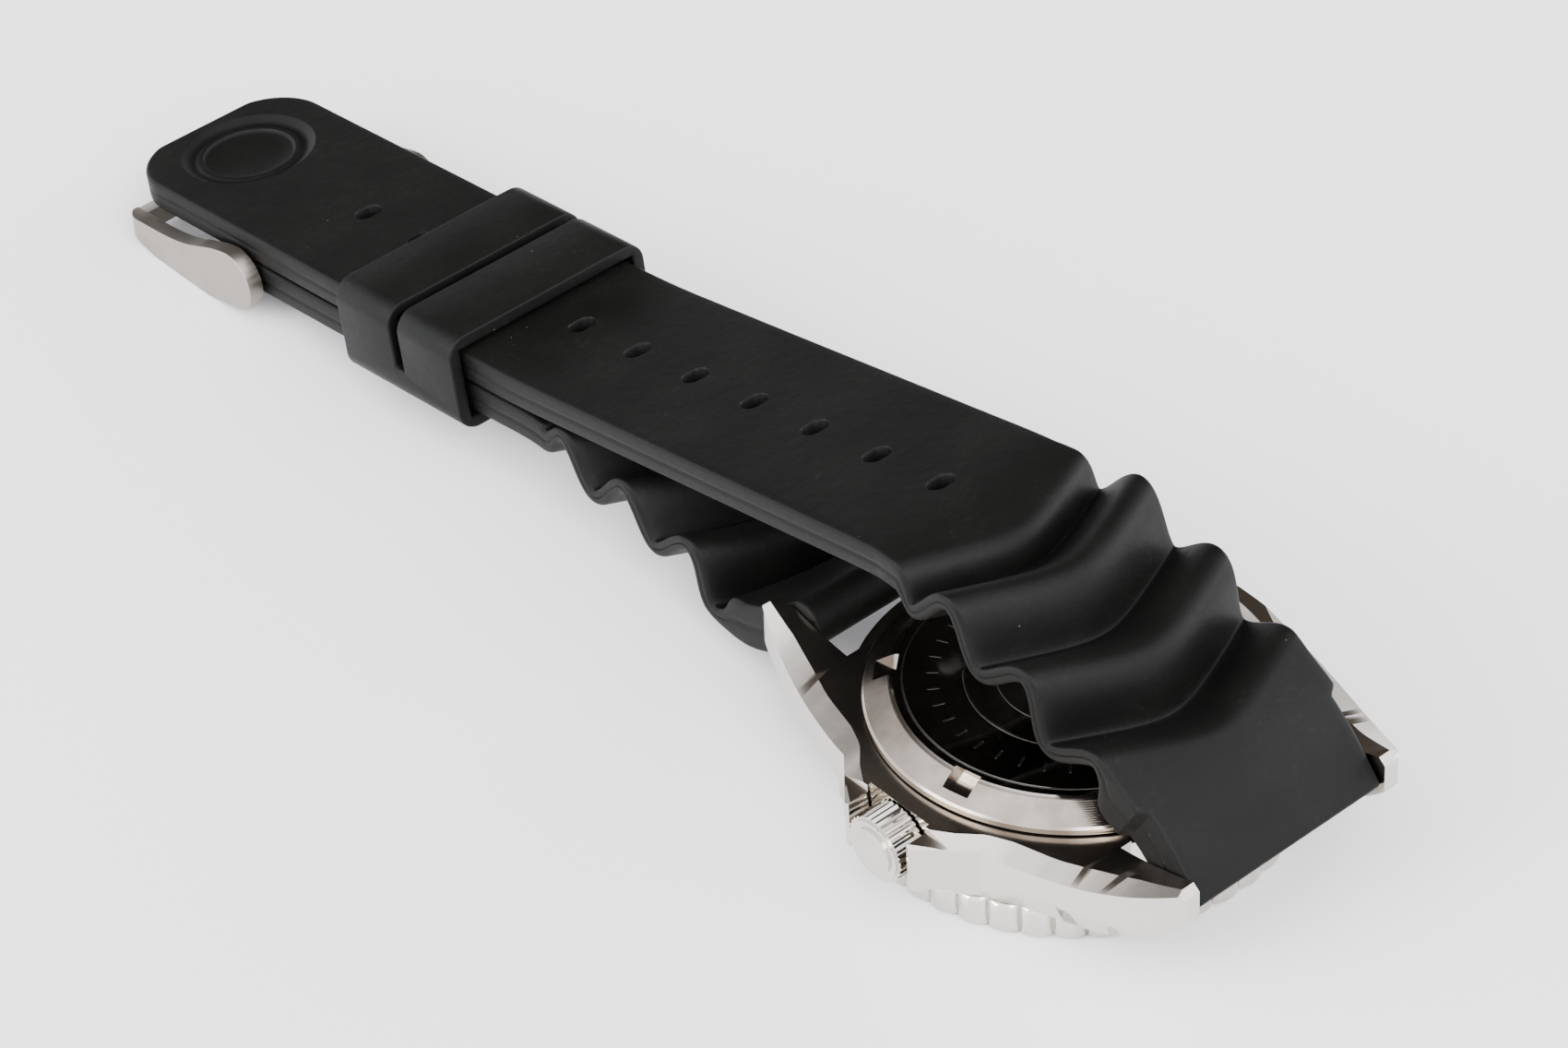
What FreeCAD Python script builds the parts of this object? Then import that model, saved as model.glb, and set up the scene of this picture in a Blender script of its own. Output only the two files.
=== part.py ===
"""Dive watch lying on its crystal side with the strap folded: one STEP file per piece.

Units are millimetres. The origin is on the watch axis, on the plane that the bezel rests on.
+Z points from the dial side to the case back, +Y to 12 o'clock and -X to the crown.
"""
import FreeCAD
import Part
import math
import os

Vector = FreeCAD.Vector
AXIS_X = Vector(1, 0, 0)
AXIS_Z = Vector(0, 0, 1)

# Running fit between a turning piece and its bearing.
FIT = 0.05

# Bezel
BEZEL_R = 20.6
BEZEL_TOP = 3.45
BEZEL_BORE_R = 16.03
BEZEL_LIP_R = 19.1
BEZEL_SHELF = 1.15
SCALLOPS = 44
SCALLOP_R = 0.55
RATCHET_TEETH = 120
RATCHET_R = 19.3
RATCHET_DEPTH = 0.3
RATCHET_FLOOR = 2.75
INSERT_Z = 0.35

# Case
NECK_R = 15.95
NECK_WALL = 0.45
NECK_Z = 0.9
SHELF_Z = 2.4
SHELF_R = 14.2
CASE_Z0 = 3.7
CASE_Z1 = 9.9
CHAMBER_R = 14.6
CASE_HALF_W = 20.1
LUG_INNER_X = 10.9
LUG_TIP_X = 13.0
LUG_TIP_Y = 26.2
LUG_BAR_Y = 22.8
LUG_BAR_Z = 10.0
GUARD_X = 22.8
GUARD_Y = 3.6
GUARD_Z0 = 4.3
GUARD_Z1 = 9.2
BACK_BORE_R = 16.6
BACK_BORE_Z = 8.6
BACK_RECESS_R = 18.6

# Crystal, dial and case back
CRYSTAL_R = 15.0
CRYSTAL_Z0 = 0.25
DIAL_Z = 4.1
DIAL_T = 0.4
CHAPTER_R = 13.2
BACK_R = 18.2
BACK_FLANGE_Z = 10.1
BACK_EDGE_Z = 10.6
BACK_FLAT_R = 15.9
BACK_TOP_Z = 12.1
BACK_INNER_Z = 11.1
NOTCHES = 6
NOTCH_START = 11.0
NOTCH_SIZE = 2.6

# Crown and stem
CROWN_Z = 6.6
CROWN_R = 3.2
CROWN_X0 = 20.35
CROWN_X1 = 23.6
CROWN_KNURLS = 32
TUBE_R = 1.55
STEM_R = 0.75
STEM_SQUARE = 1.0

# Movement levels
DISC_Z = 4.65
PLATE_Z0 = 5.2
PLATE_Z1 = 6.9
PLATE_R = 13.6
BRIDGE_Z0 = 9.2
BRIDGE_Z1 = 9.8
CENTRE_WHEEL_R = 3.5
CENTRE_PINION_R = 1.0
THIRD_PINION_R = 0.7
THIRD_Y = -(CENTRE_WHEEL_R + THIRD_PINION_R + 0.04)
FOURTH_PINION_R = 0.6
THIRD_WHEEL_R = -THIRD_Y - FOURTH_PINION_R - 0.04
FOURTH_WHEEL_R = 3.3
ESCAPE_PINION_R = 0.5
BARREL_R = 5.2
BARREL_AT = 40.0
ESCAPE_AT = 150.0
ESCAPE_R = 2.0
ESCAPE_DIST = FOURTH_WHEEL_R + ESCAPE_PINION_R + 0.04
PALLET_DIST = ESCAPE_DIST + 2.9
BALANCE_DIST = PALLET_DIST + 2.66
BALANCE_R = 3.7
BRIDGE_PILLARS = [(11.5, -4.0), (9.0, -8.5), (-2.0, -11.8), (-9.5, -7.0)]
COCK_PILLAR = (-6.2, 10.8)
ROTOR_R = 13.2
ROTOR_Z0 = 9.95
ROTOR_Z1 = 10.9

# Strap: heights and lengths are along the fold of each strand
STRAP_FLAT_T = 3.1
STRAP_RIB_T = 1.6
STRAP_SLAB_T = 4.5
WEDGE_S = 3.6
LUG_HALF_W = 10.75
WAVE_HALF_W = 11.6
FLAT_HALF_W = 10.0
FLAT_SLOPE = -0.121
BAR_HOLE_R = 0.8
BAR_R = 0.75
TAIL_BASE = [(-22.8, 10.0), (-20.9, 12.2), (-14.3, 16.1), (-6.0, 19.9), (3.8, 22.54), (10.5, 23.1), (14.0, 22.5)]
TAIL_HUMP = 11.2
TAIL_PITCH = 9.2
TAIL_AMP = 2.25
TAIL_FLAT_S = 36.8
TAIL_SPLIT_Y = 12.9
TAIL_BEND_Y = 64.0
TAIL_END_Y = 126.5
TAIL_CORNER_R = 6.0
TAIL_TOP_Z0 = 21.96
HOLE_FIRST_Y = 16.0
HOLE_PITCH = 8.26
HOLES = 11
HOLE_HALF = 0.9
HOLE_WIDE = 0.45
DIMPLE_Y = 118.5
DIMPLE_R = 6.6
DIMPLE_DEPTH = 0.9
BUCKLE_BASE = [(22.8, 10.0), (27.5, 6.6), (32.0, 5.0), (38.0, 6.9), (47.0, 8.5), (55.0, 9.1), (62.0, 9.46)]
BUCKLE_HUMP = 13.9
BUCKLE_PITCH = 9.0
BUCKLE_AMP = 2.05
BUCKLE_FLAT_S = 39.5
BUCKLE_FLAT_Y = 61.0
LAYER_GAP = 0.35

# Keeper
KEEPER_Y0 = 70.3
KEEPER_LENGTH = 17.8
KEEPER_WALL = 1.3
KEEPER_SLACK = 0.4
KEEPER_SLOT = 1.3
KEEPER_ROUND = 2.1

# Buckle
BUCKLE_BAR_Y = 106.3
BUCKLE_CHEEK_X0 = 10.4
BUCKLE_CHEEK_X1 = 12.0
BUCKLE_TIP_Y = 124.6
BUCKLE_CORNER_R = 2.6
TONGUE_HALF_W = 1.3


def flat_z(y):
    """Centre height of the buckle strand's flat part."""
    return TAIL_TOP_Z0 + FLAT_SLOPE * y - 1.5 * STRAP_FLAT_T - LAYER_GAP


def tail_z(y):
    """Centre height of the tail's flat part beyond its bend."""
    return TAIL_TOP_Z0 + FLAT_SLOPE * y - 0.5 * STRAP_FLAT_T


BUCKLE_BAR_Z = flat_z(BUCKLE_BAR_Y)


# ---------------------------------------------------------------- helpers

def disc(radius, z0, z1, x=0.0, y=0.0):
    """Upright cylinder between two heights."""
    return Part.makeCylinder(radius, z1 - z0, Vector(x, y, z0))


def ring(r_out, r_in, z0, z1, x=0.0, y=0.0):
    """Upright tube between two heights."""
    return disc(r_out, z0, z1, x, y).cut(disc(r_in, z0 - 1, z1 + 1, x, y))


def rod_x(radius, x0, x1, y, z):
    """Cylinder along X."""
    return Part.makeCylinder(radius, x1 - x0, Vector(x0, y, z), AXIS_X)


def block(x0, x1, y0, y1, z0, z1):
    """Box between two corners."""
    return Part.makeBox(x1 - x0, y1 - y0, z1 - z0, Vector(x0, y0, z0))


def turned(profile):
    """Solid of revolution about Z from (radius, height) points."""
    points = [Vector(r, 0, z) for r, z in profile]
    face = Part.Face(Part.makePolygon(points + points[:1]))
    return face.revolve(Vector(0, 0, 0), AXIS_Z, 360)


def prism_x(edges, x0, x1):
    """Solid from a closed outline in the YZ plane, from x0 to x1."""
    face = Part.Face(Part.Wire(edges))
    face.translate(Vector(x0, 0, 0))
    return face.extrude(Vector(x1 - x0, 0, 0))


def polygon_x(points, x0, x1):
    """Solid from (y, z) corners, from x0 to x1."""
    corners = [Vector(0, y, z) for y, z in points]
    return prism_x(Part.makePolygon(corners + corners[:1]).Edges, x0, x1)


def polygon_z(points, z0, z1):
    """Solid from (x, y) corners, from z0 to z1."""
    corners = [Vector(x, y, z0) for x, y in points]
    face = Part.Face(Part.makePolygon(corners + corners[:1]))
    return face.extrude(Vector(0, 0, z1 - z0))


def polar(radius, degrees):
    """Point in the XY plane at a radius and an angle."""
    angle = math.radians(degrees)
    return radius * math.cos(angle), radius * math.sin(angle)


def toothed(r_tip, teeth, z0, z1, x=0.0, y=0.0, depth=0.15):
    """Wheel blank whose teeth end at the pitch circle."""
    points = []
    step = 360.0 / teeth
    for index in range(teeth):
        for radius, part in ((r_tip - depth, 0.0), (r_tip, 0.3), (r_tip, 0.6)):
            px, py = polar(radius, step * (index + part))
            points.append((x + px, y + py))
    return polygon_z(points, z0, z1)


def spiral(r0, r1, turns, thickness, z0, z1, x=0.0, y=0.0):
    """Flat coiled ribbon."""
    steps = int(turns * 16)
    sides = []
    for offset in (0.0, thickness):
        points = []
        for index in range(steps + 1):
            share = index / steps
            px, py = polar(r0 + (r1 - r0) * share + offset, 360.0 * turns * share)
            points.append(Vector(x + px, y + py, z0))
        curve = Part.BSplineCurve()
        curve.interpolate(points)
        sides.append((curve.toShape(), points))
    start = Part.makeLine(sides[0][1][0], sides[1][1][0])
    end = Part.makeLine(sides[0][1][-1], sides[1][1][-1])
    outline = Part.Wire(Part.__sortEdges__([sides[0][0], end, sides[1][0], start]))
    return Part.Face(outline).extrude(Vector(0, 0, z1 - z0))


def fused(shapes):
    """One solid from overlapping solids."""
    return shapes[0].multiFuse(shapes[1:]).removeSplitter()


# ---------------------------------------------------------------- bezel and glass

def bezel_ring():
    """Turning bezel with a scalloped edge and ratchet teeth underneath."""
    body = turned([
        (BEZEL_LIP_R, 0.0), (BEZEL_R - 0.6, 0.0), (BEZEL_R, 0.6), (BEZEL_R, BEZEL_TOP - 0.4),
        (BEZEL_R - 0.4, BEZEL_TOP), (BEZEL_BORE_R, BEZEL_TOP), (BEZEL_BORE_R, BEZEL_SHELF),
        (BEZEL_LIP_R, BEZEL_SHELF)])
    cutters = []
    for index in range(SCALLOPS):
        x, y = polar(BEZEL_R + 0.12, 360.0 * index / SCALLOPS)
        cutters.append(disc(SCALLOP_R, -1, BEZEL_TOP + 1, x, y))
    groove = toothed(RATCHET_R, RATCHET_TEETH, RATCHET_FLOOR, BEZEL_TOP + 1, depth=RATCHET_DEPTH)
    groove = groove.cut(disc(17.0, RATCHET_FLOOR - 1, BEZEL_TOP + 2))
    return body.cut(Part.makeCompound(cutters)).cut(groove)


def bezel_insert():
    """Scale ring glued into the bezel's recess."""
    return ring(BEZEL_LIP_R - 0.05, BEZEL_BORE_R + 0.1, INSERT_Z, BEZEL_SHELF)


def bezel_pip():
    """Luminous dot at the bezel's zero mark, standing in a blind hole of the insert."""
    return disc(0.8, INSERT_Z - 0.15, INSERT_Z, 0, 0.5 * (BEZEL_LIP_R + BEZEL_BORE_R))


def bezel_click_spring():
    """Flat spring ring whose three arms ride on the ratchet teeth."""
    body = ring(18.4, 17.3, 3.0, 3.3)
    for angle in (0, 120, 240):
        x, y = polar(18.35, angle)
        body = body.fuse(disc(0.5, 3.0, 3.3, x, y))
    foot = ring(17.9, 17.3, 3.3, CASE_Z0)
    return body.fuse(foot).removeSplitter()


def crystal():
    """Flat mineral glass with a bevelled edge."""
    return turned([
        (0, CRYSTAL_Z0), (CRYSTAL_R - 0.3, CRYSTAL_Z0), (CRYSTAL_R, CRYSTAL_Z0 + 0.3),
        (CRYSTAL_R, SHELF_Z), (0, SHELF_Z)])


def crystal_gasket():
    """Plastic ring between glass and case."""
    return ring(NECK_R - NECK_WALL, CRYSTAL_R, NECK_Z + 0.2, SHELF_Z)


# ---------------------------------------------------------------- case

def case_plan():
    """Plan outline of the case with lugs and crown guards."""
    right = [
        Vector(LUG_INNER_X, 17.0, 0), Vector(LUG_INNER_X, LUG_TIP_Y, 0),
        Vector(LUG_TIP_X - 0.5, LUG_TIP_Y, 0), Vector(LUG_TIP_X, LUG_TIP_Y - 0.6, 0)]
    flank = Vector(18.1, 13.2, 0)
    waist = Vector(CASE_HALF_W, 0, 0)
    edges = []
    for sign in (1, -1):
        points = [Vector(p.x, sign * p.y, 0) for p in right]
        edges += [Part.makeLine(points[i], points[i + 1]) for i in range(3)]
        side = Part.Arc(points[3], Vector(flank.x, sign * flank.y, 0), waist).toShape()
        edges.append(side)
    guard = [
        Vector(-19.0, 8.4, 0), Vector(-GUARD_X, GUARD_Y + 0.5, 0), Vector(-GUARD_X, GUARD_Y, 0),
        Vector(-CROWN_X0 + 0.15, GUARD_Y, 0)]
    for sign in (1, -1):
        points = [Vector(-p.x, sign * p.y, 0) for p in right]
        edges += [Part.makeLine(points[i], points[i + 1]) for i in range(3)]
        corners = [Vector(p.x, sign * p.y, 0) for p in guard]
        side = Part.Arc(points[3], Vector(-16.9, sign * 15.9, 0), corners[0]).toShape()
        edges.append(side)
        edges += [Part.makeLine(corners[i], corners[i + 1]) for i in range(3)]
    edges.append(Part.makeLine(Vector(guard[3].x, GUARD_Y, 0), Vector(guard[3].x, -GUARD_Y, 0)))
    for sign in (1, -1):
        left = Vector(-LUG_INNER_X, sign * 17.0, 0)
        edges.append(Part.makeLine(left, Vector(LUG_INNER_X, sign * 17.0, 0)))
    return Part.Face(Part.Wire(Part.__sortEdges__(edges)))


def case_side():
    """Side outline of the case, its lugs curving up to their tips."""
    tip = LUG_TIP_Y + 0.2
    points = {
        "under": (15.5, CASE_Z0), "under_mid": (21.3, 5.1), "tip_low": (tip, 8.7),
        "tip_high": (tip, 11.2), "tip_top": (tip - 0.9, 12.0), "over_mid": (20.5, 10.7),
        "over": (13.5, CASE_Z1)}
    edges = []
    for sign in (1, -1):
        p = {name: Vector(0, sign * y, z) for name, (y, z) in points.items()}
        edges.append(Part.Arc(p["under"], p["under_mid"], p["tip_low"]).toShape())
        edges.append(Part.makeLine(p["tip_low"], p["tip_high"]))
        edges.append(Part.makeLine(p["tip_high"], p["tip_top"]))
        edges.append(Part.Arc(p["tip_top"], p["over_mid"], p["over"]).toShape())
    for name in ("under", "over"):
        y, z = points[name]
        edges.append(Part.makeLine(Vector(0, -y, z), Vector(0, y, z)))
    return prism_x(Part.__sortEdges__(edges), -GUARD_X - 1, GUARD_X + 1)


def case_body():
    """Middle case: barrel, lugs, crown guards, bezel neck and crystal shelf."""
    plan = case_plan()
    plan.translate(Vector(0, 0, CASE_Z0 - 1))
    outer = plan.extrude(Vector(0, 0, 12)).common(case_side())
    outer = outer.fuse(disc(19.6, CASE_Z0, CASE_Z1))
    outer = outer.cut(block(-30, -19.9, -9, 9, 0, GUARD_Z0))
    outer = outer.cut(block(-30, -20.6, -9, 9, GUARD_Z1, 20))
    neck = disc(NECK_R, NECK_Z, CASE_Z0 + 0.1)
    outer = outer.fuse(neck)
    outer = outer.cut(disc(NECK_R - NECK_WALL, NECK_Z - 1, SHELF_Z))
    outer = outer.cut(disc(SHELF_R, SHELF_Z - 1, CASE_Z0 + 1))
    outer = outer.cut(disc(CHAMBER_R, CASE_Z0, 20))
    outer = outer.cut(disc(BACK_BORE_R, BACK_BORE_Z, 20))
    outer = outer.cut(disc(BACK_RECESS_R, CASE_Z1, 20))
    outer = outer.cut(ring(17.7, BACK_BORE_R - 0.1, CASE_Z1 - 0.45, 20))
    outer = outer.cut(rod_x(TUBE_R, -25, -10, 0, CROWN_Z))
    for sign in (1, -1):
        for x0 in (LUG_INNER_X - 0.1, -LUG_INNER_X - 1.1):
            outer = outer.cut(rod_x(0.55, x0, x0 + 1.2, sign * LUG_BAR_Y, LUG_BAR_Z))
    return outer.removeSplitter()


def crown_tube():
    """Tube pressed into the case for the stem."""
    tube = rod_x(TUBE_R, -22.0, -14.9, 0, CROWN_Z)
    return tube.cut(rod_x(STEM_R + FIT, -23, -14, 0, CROWN_Z))


def case_back():
    """Screwed back with a sloping ring, wrench notches and a thread skirt."""
    body = turned([
        (0, BACK_INNER_Z), (15.1, BACK_INNER_Z), (15.1, BACK_BORE_Z + 0.1), (16.5, BACK_BORE_Z + 0.1),
        (16.5, BACK_FLANGE_Z), (BACK_R, BACK_FLANGE_Z), (BACK_R, BACK_EDGE_Z), (BACK_R - 0.2, BACK_EDGE_Z + 0.2),
        (BACK_FLAT_R, BACK_TOP_Z - 0.15), (BACK_FLAT_R - 0.4, BACK_TOP_Z), (0, BACK_TOP_Z)])
    for index in range(NOTCHES):
        notch = block(15.2, 15.2 + NOTCH_SIZE, -NOTCH_SIZE / 2, NOTCH_SIZE / 2, 11.2, 13)
        notch.rotate(Vector(0, 0, 0), AXIS_Z, NOTCH_START + 360.0 * index / NOTCHES)
        body = body.cut(notch)
    return body


def case_back_gasket():
    """Rubber ring under the back's flange."""
    return ring(17.55, 16.75, CASE_Z1 - 0.4, BACK_FLANGE_Z - 0.02)


def lug_spring_bars():
    """Two sprung bars between the lugs, a node of two solids."""
    bars = []
    for sign in (1, -1):
        body = rod_x(BAR_R, -10.6, 10.6, sign * LUG_BAR_Y, LUG_BAR_Z)
        pins = rod_x(0.5, -11.8, 11.8, sign * LUG_BAR_Y, LUG_BAR_Z)
        bars.append(body.fuse(pins).removeSplitter())
    return Part.makeCompound(bars)


# ---------------------------------------------------------------- dial side

def dial():
    """Dial with raised markers and a calendar window."""
    body = disc(14.1, DIAL_Z, DIAL_Z + DIAL_T)
    markers = []
    for index in range(12):
        x, y = polar(11.2, 30 * index)
        if index != 6:
            markers.append(disc(0.85, DIAL_Z - 0.15, DIAL_Z + 0.1, x, y))
    body = fused([body] + markers)
    body = body.cut(block(-12.4, -6.6, -1.2, 1.2, DIAL_Z - 1, DIAL_Z + 1))
    return body.cut(disc(1.5, DIAL_Z - 1, DIAL_Z + 1))


def chapter_ring():
    """Sloping minute ring between glass and dial."""
    return turned([
        (CHAPTER_R, DIAL_Z - 0.02), (CHAPTER_R, DIAL_Z - 0.4), (13.7, SHELF_Z + 0.05),
        (14.1, SHELF_Z + 0.05), (14.1, DIAL_Z - 0.02)])


def hand(length, tail, width, z0, z1, bore, hub):
    """Straight hand along +Y with a round hub."""
    body = fused([
        disc(hub, z0, z1), block(-width / 2, width / 2, -tail, length, z0, z1)])
    return body.cut(disc(bore, z0 - 1, z1 + 1))


def hour_hand():
    """Hour hand."""
    return hand(7.2, 1.8, 1.8, 3.6, 3.78, 1.0, 1.35)


def minute_hand():
    """Minute hand."""
    return hand(11.0, 2.2, 1.4, 3.2, 3.38, 0.6, 1.0)


def seconds_hand():
    """Seconds hand with a round counterweight."""
    body = fused([hand(12.2, 4.0, 0.35, 2.82, 2.95, 0.2, 0.6), disc(0.8, 2.82, 2.95, 0, -3.6)])
    return body.cut(disc(0.25, 2, 4))


def date_disc():
    """Date ring under the dial."""
    return ring(13.3, 10.0, DISC_Z, DISC_Z + 0.15)


def day_disc():
    """Day disc under the dial."""
    return ring(9.8, 1.9, DISC_Z, DISC_Z + 0.15)


def hour_wheel():
    """Hour wheel and its pipe, round the cannon pinion."""
    wheel = toothed(2.8, 40, 4.9, 5.1)
    return fused([wheel, disc(1.0, 3.6, 5.0)]).cut(disc(0.65, 3, 6))


# ---------------------------------------------------------------- movement

def mainplate():
    """Base plate with bearing holes and a slot for the stem."""
    plate = disc(PLATE_R, PLATE_Z0, PLATE_Z1)
    plate = plate.cut(block(-14, -9.2, -1.6, 1.6, PLATE_Z0 + 0.05, PLATE_Z1 + 1))
    plate = plate.cut(disc(0.65, 0, 20))
    for x, y, radius in bearing_points():
        plate = plate.cut(disc(radius + FIT, PLATE_Z1 - 0.6, PLATE_Z1 + 1, x, y))
    return plate


def bearing_points():
    """Arbor places and pivot radii of the wheels that stand on the plate."""
    points = [(0.0, THIRD_Y, 0.2)]
    for distance, angle, radius in (
            (BARREL_R + CENTRE_PINION_R + 0.04, BARREL_AT, 0.5), (ESCAPE_DIST, ESCAPE_AT, 0.2),
            (PALLET_DIST, ESCAPE_AT, 0.2), (BALANCE_DIST, ESCAPE_AT, 0.2)):
        x, y = polar(distance, angle)
        points.append((x, y, radius))
    return points


def movement_ring():
    """Plastic ring that holds the movement in the case."""
    body = ring(14.5, 13.75, DISC_Z, BRIDGE_Z0)
    return body.cut(block(-20, -10, -1.2, 1.2, 5.3, 8.0))


def pillar_holes(body, places):
    """Body with a counterbored screw hole at each place."""
    for x, y in places:
        body = body.cut(disc(0.9, BRIDGE_Z1 - 0.3, 20, x, y))
        body = body.cut(disc(0.5, 7.6, 20, x, y))
    return body


def train_bridge():
    """Bridge over the barrel and going train, on four pillars."""
    plate = disc(13.3, BRIDGE_Z0, BRIDGE_Z1).cut(block(-14, -4.6, 0.2, 14, 0, 20))
    pillars = [disc(1.2, PLATE_Z1, BRIDGE_Z0 + 0.1, x, y) for x, y in BRIDGE_PILLARS]
    body = pillar_holes(fused([plate] + pillars), BRIDGE_PILLARS)
    for x, y, radius in [(0, 0, 0.25)] + bearing_points()[:3]:
        body = body.cut(disc(radius + FIT, BRIDGE_Z0 - 1, BRIDGE_Z0 + 0.3, x, y))
    return body


def balance_cock():
    """Cock that carries the balance's upper pivot."""
    plate = disc(13.3, BRIDGE_Z0, BRIDGE_Z1).common(block(-14, -4.9, 0.5, 14, 0, 20))
    pillar = disc(1.2, PLATE_Z1, BRIDGE_Z0 + 0.1, COCK_PILLAR[0], COCK_PILLAR[1])
    body = pillar_holes(fused([plate, pillar]), [COCK_PILLAR])
    x, y = polar(BALANCE_DIST, ESCAPE_AT)
    return body.cut(disc(0.2 + FIT, BRIDGE_Z0 - 1, BRIDGE_Z0 + 0.3, x, y))


def movement_screws():
    """Bridge and cock screws, a node of five solids."""
    screws = []
    for x, y in BRIDGE_PILLARS + [COCK_PILLAR]:
        head = disc(0.8, BRIDGE_Z1 - 0.28, BRIDGE_Z1 - 0.02, x, y)
        head = head.cut(block(x - 1, x + 1, y - 0.1, y + 0.1, BRIDGE_Z1 - 0.12, 20))
        screws.append(fused([head, disc(0.42, 7.7, BRIDGE_Z1 - 0.2, x, y)]))
    return Part.makeCompound(screws)


def centre_wheel():
    """Centre wheel with its pinion and the hollow arbor that carries the minute hand."""
    parts = [
        toothed(CENTRE_WHEEL_R, 64, 7.0, 7.2), toothed(CENTRE_PINION_R, 12, 7.4, 8.4),
        disc(0.6, 3.2, 7.5)]
    return fused(parts).cut(disc(0.3, 0, 20))


def third_wheel():
    """Third wheel and pinion on one arbor."""
    parts = [
        toothed(THIRD_PINION_R, 8, 6.98, 7.3, 0, THIRD_Y),
        toothed(THIRD_WHEEL_R, 60, 8.5, 8.7, 0, THIRD_Y), disc(0.2, 6.5, 9.35, 0, THIRD_Y)]
    return fused(parts)


def fourth_wheel():
    """Fourth wheel and pinion on the long arbor of the seconds hand."""
    parts = [
        toothed(FOURTH_PINION_R, 8, 8.45, 8.85), toothed(FOURTH_WHEEL_R, 70, 8.85, 9.05),
        disc(0.25, 2.85, 9.4)]
    return fused(parts)


def escape_wheel():
    """Escape wheel with its pinion."""
    x, y = polar(ESCAPE_DIST, ESCAPE_AT)
    parts = [
        toothed(ESCAPE_R, 15, 7.35, 7.5, x, y, 0.45), toothed(ESCAPE_PINION_R, 7, 8.8, 9.08, x, y),
        disc(0.2, 6.5, 9.15, x, y)]
    return fused(parts)


def pallet_fork():
    """Pallet fork with two pallet stones and a lever to the balance roller."""
    parts = [
        block(-0.25, 0.25, -1.7, 1.7, 7.35, 7.5), block(-1.2, 0.0, 1.3, 1.6, 7.35, 7.5),
        block(-1.2, 0.0, -1.6, -1.3, 7.35, 7.5), block(0, 1.85, -0.2, 0.2, 7.35, 7.5),
        disc(0.2, 6.5, 7.75)]
    body = fused(parts)
    body.rotate(Vector(0, 0, 0), AXIS_Z, ESCAPE_AT)
    x, y = polar(PALLET_DIST, ESCAPE_AT)
    body.translate(Vector(x, y, 0))
    return body


def balance_wheel():
    """Balance: rim, arm, roller and staff."""
    x, y = polar(BALANCE_DIST, ESCAPE_AT)
    parts = [
        ring(BALANCE_R, BALANCE_R - 0.6, 8.0, 8.3, x, y),
        block(x - BALANCE_R + 0.2, x + BALANCE_R - 0.2, y - 0.3, y + 0.3, 8.05, 8.25),
        disc(0.35, 7.1, 9.1, x, y), disc(0.6, 7.35, 7.5, x, y), disc(0.2, 6.5, 9.35, x, y)]
    return fused(parts)


def hairspring():
    """Spiral hairspring above the balance."""
    x, y = polar(BALANCE_DIST, ESCAPE_AT)
    return spiral(0.5, 2.5, 8, 0.06, 8.5, 8.65, x, y)


def barrel_place():
    """Centre of the barrel."""
    return polar(BARREL_R + CENTRE_PINION_R + 0.04, BARREL_AT)


def barrel_drum():
    """Toothed drum that holds the mainspring."""
    x, y = barrel_place()
    body = fused([toothed(BARREL_R, 72, 7.3, 7.55, x, y), disc(4.9, 7.4, 8.2, x, y)])
    return body.cut(disc(4.5, 7.55, 20, x, y)).cut(disc(0.85, 0, 20, x, y))


def barrel_cover():
    """Lid snapped on the drum."""
    x, y = barrel_place()
    return ring(4.9, 0.85, 8.2, 8.4, x, y)


def barrel_arbor():
    """Arbor in the middle of the drum."""
    x, y = barrel_place()
    return fused([disc(0.8, 7.0, 9.0, x, y), disc(0.5, 6.5, 9.3, x, y)])


def mainspring():
    """Spiral mainspring inside the drum."""
    x, y = barrel_place()
    return spiral(1.0, 4.2, 7, 0.14, 7.62, 8.12, x, y)


def rotor_bearing():
    """Post that carries the oscillating weight."""
    return fused([disc(1.8, BRIDGE_Z1, BRIDGE_Z1 + 0.2), disc(1.2, BRIDGE_Z1, ROTOR_Z1)])


def rotor():
    """Half-round oscillating weight."""
    rim = ring(ROTOR_R, 9.4, ROTOR_Z0, ROTOR_Z1)
    web = disc(ROTOR_R, ROTOR_Z0 + 0.5, ROTOR_Z1)
    half = fused([rim, web]).common(block(-20, 20, -20, 0, 0, 20))
    hub = disc(2.4, ROTOR_Z0 + 0.15, ROTOR_Z1)
    return fused([half, hub]).cut(disc(1.2 + FIT, 0, 20))


# ---------------------------------------------------------------- crown

def crown():
    """Knurled crown with a stepped end and a pocket for the tube."""
    body = toothed(CROWN_R, CROWN_KNURLS, 0, CROWN_X1 - CROWN_X0 - 0.4, depth=0.18)
    step = CROWN_X1 - CROWN_X0
    cap = fused([body, disc(CROWN_R - 0.35, 0, step - 0.2), disc(CROWN_R - 1.0, 0, step)])
    cap = cap.cut(disc(2.05, -1, 1.95))
    cap = cap.cut(disc(STEM_R, -1, 2.3))
    cap.rotate(Vector(0, 0, 0), Vector(0, 1, 0), -90)
    cap.translate(Vector(-CROWN_X0, 0, CROWN_Z))
    return cap


def crown_gasket():
    """Rubber ring in the crown's pocket, round the tube."""
    body = rod_x(2.05, -CROWN_X0 - 1.4, -CROWN_X0 - 0.6, 0, CROWN_Z)
    return body.cut(rod_x(TUBE_R + FIT, -30, -10, 0, CROWN_Z))


def winding_stem():
    """Stem: round in the tube, square in the clutch."""
    half = STEM_SQUARE / 2
    square = block(-15.4, -9.6, -half, half, CROWN_Z - half, CROWN_Z + half)
    square = square.common(rod_x(STEM_R - 0.05, -16, -9, 0, CROWN_Z))
    return fused([rod_x(STEM_R, -CROWN_X0 - 2.3, -15.2, 0, CROWN_Z), square])


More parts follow.
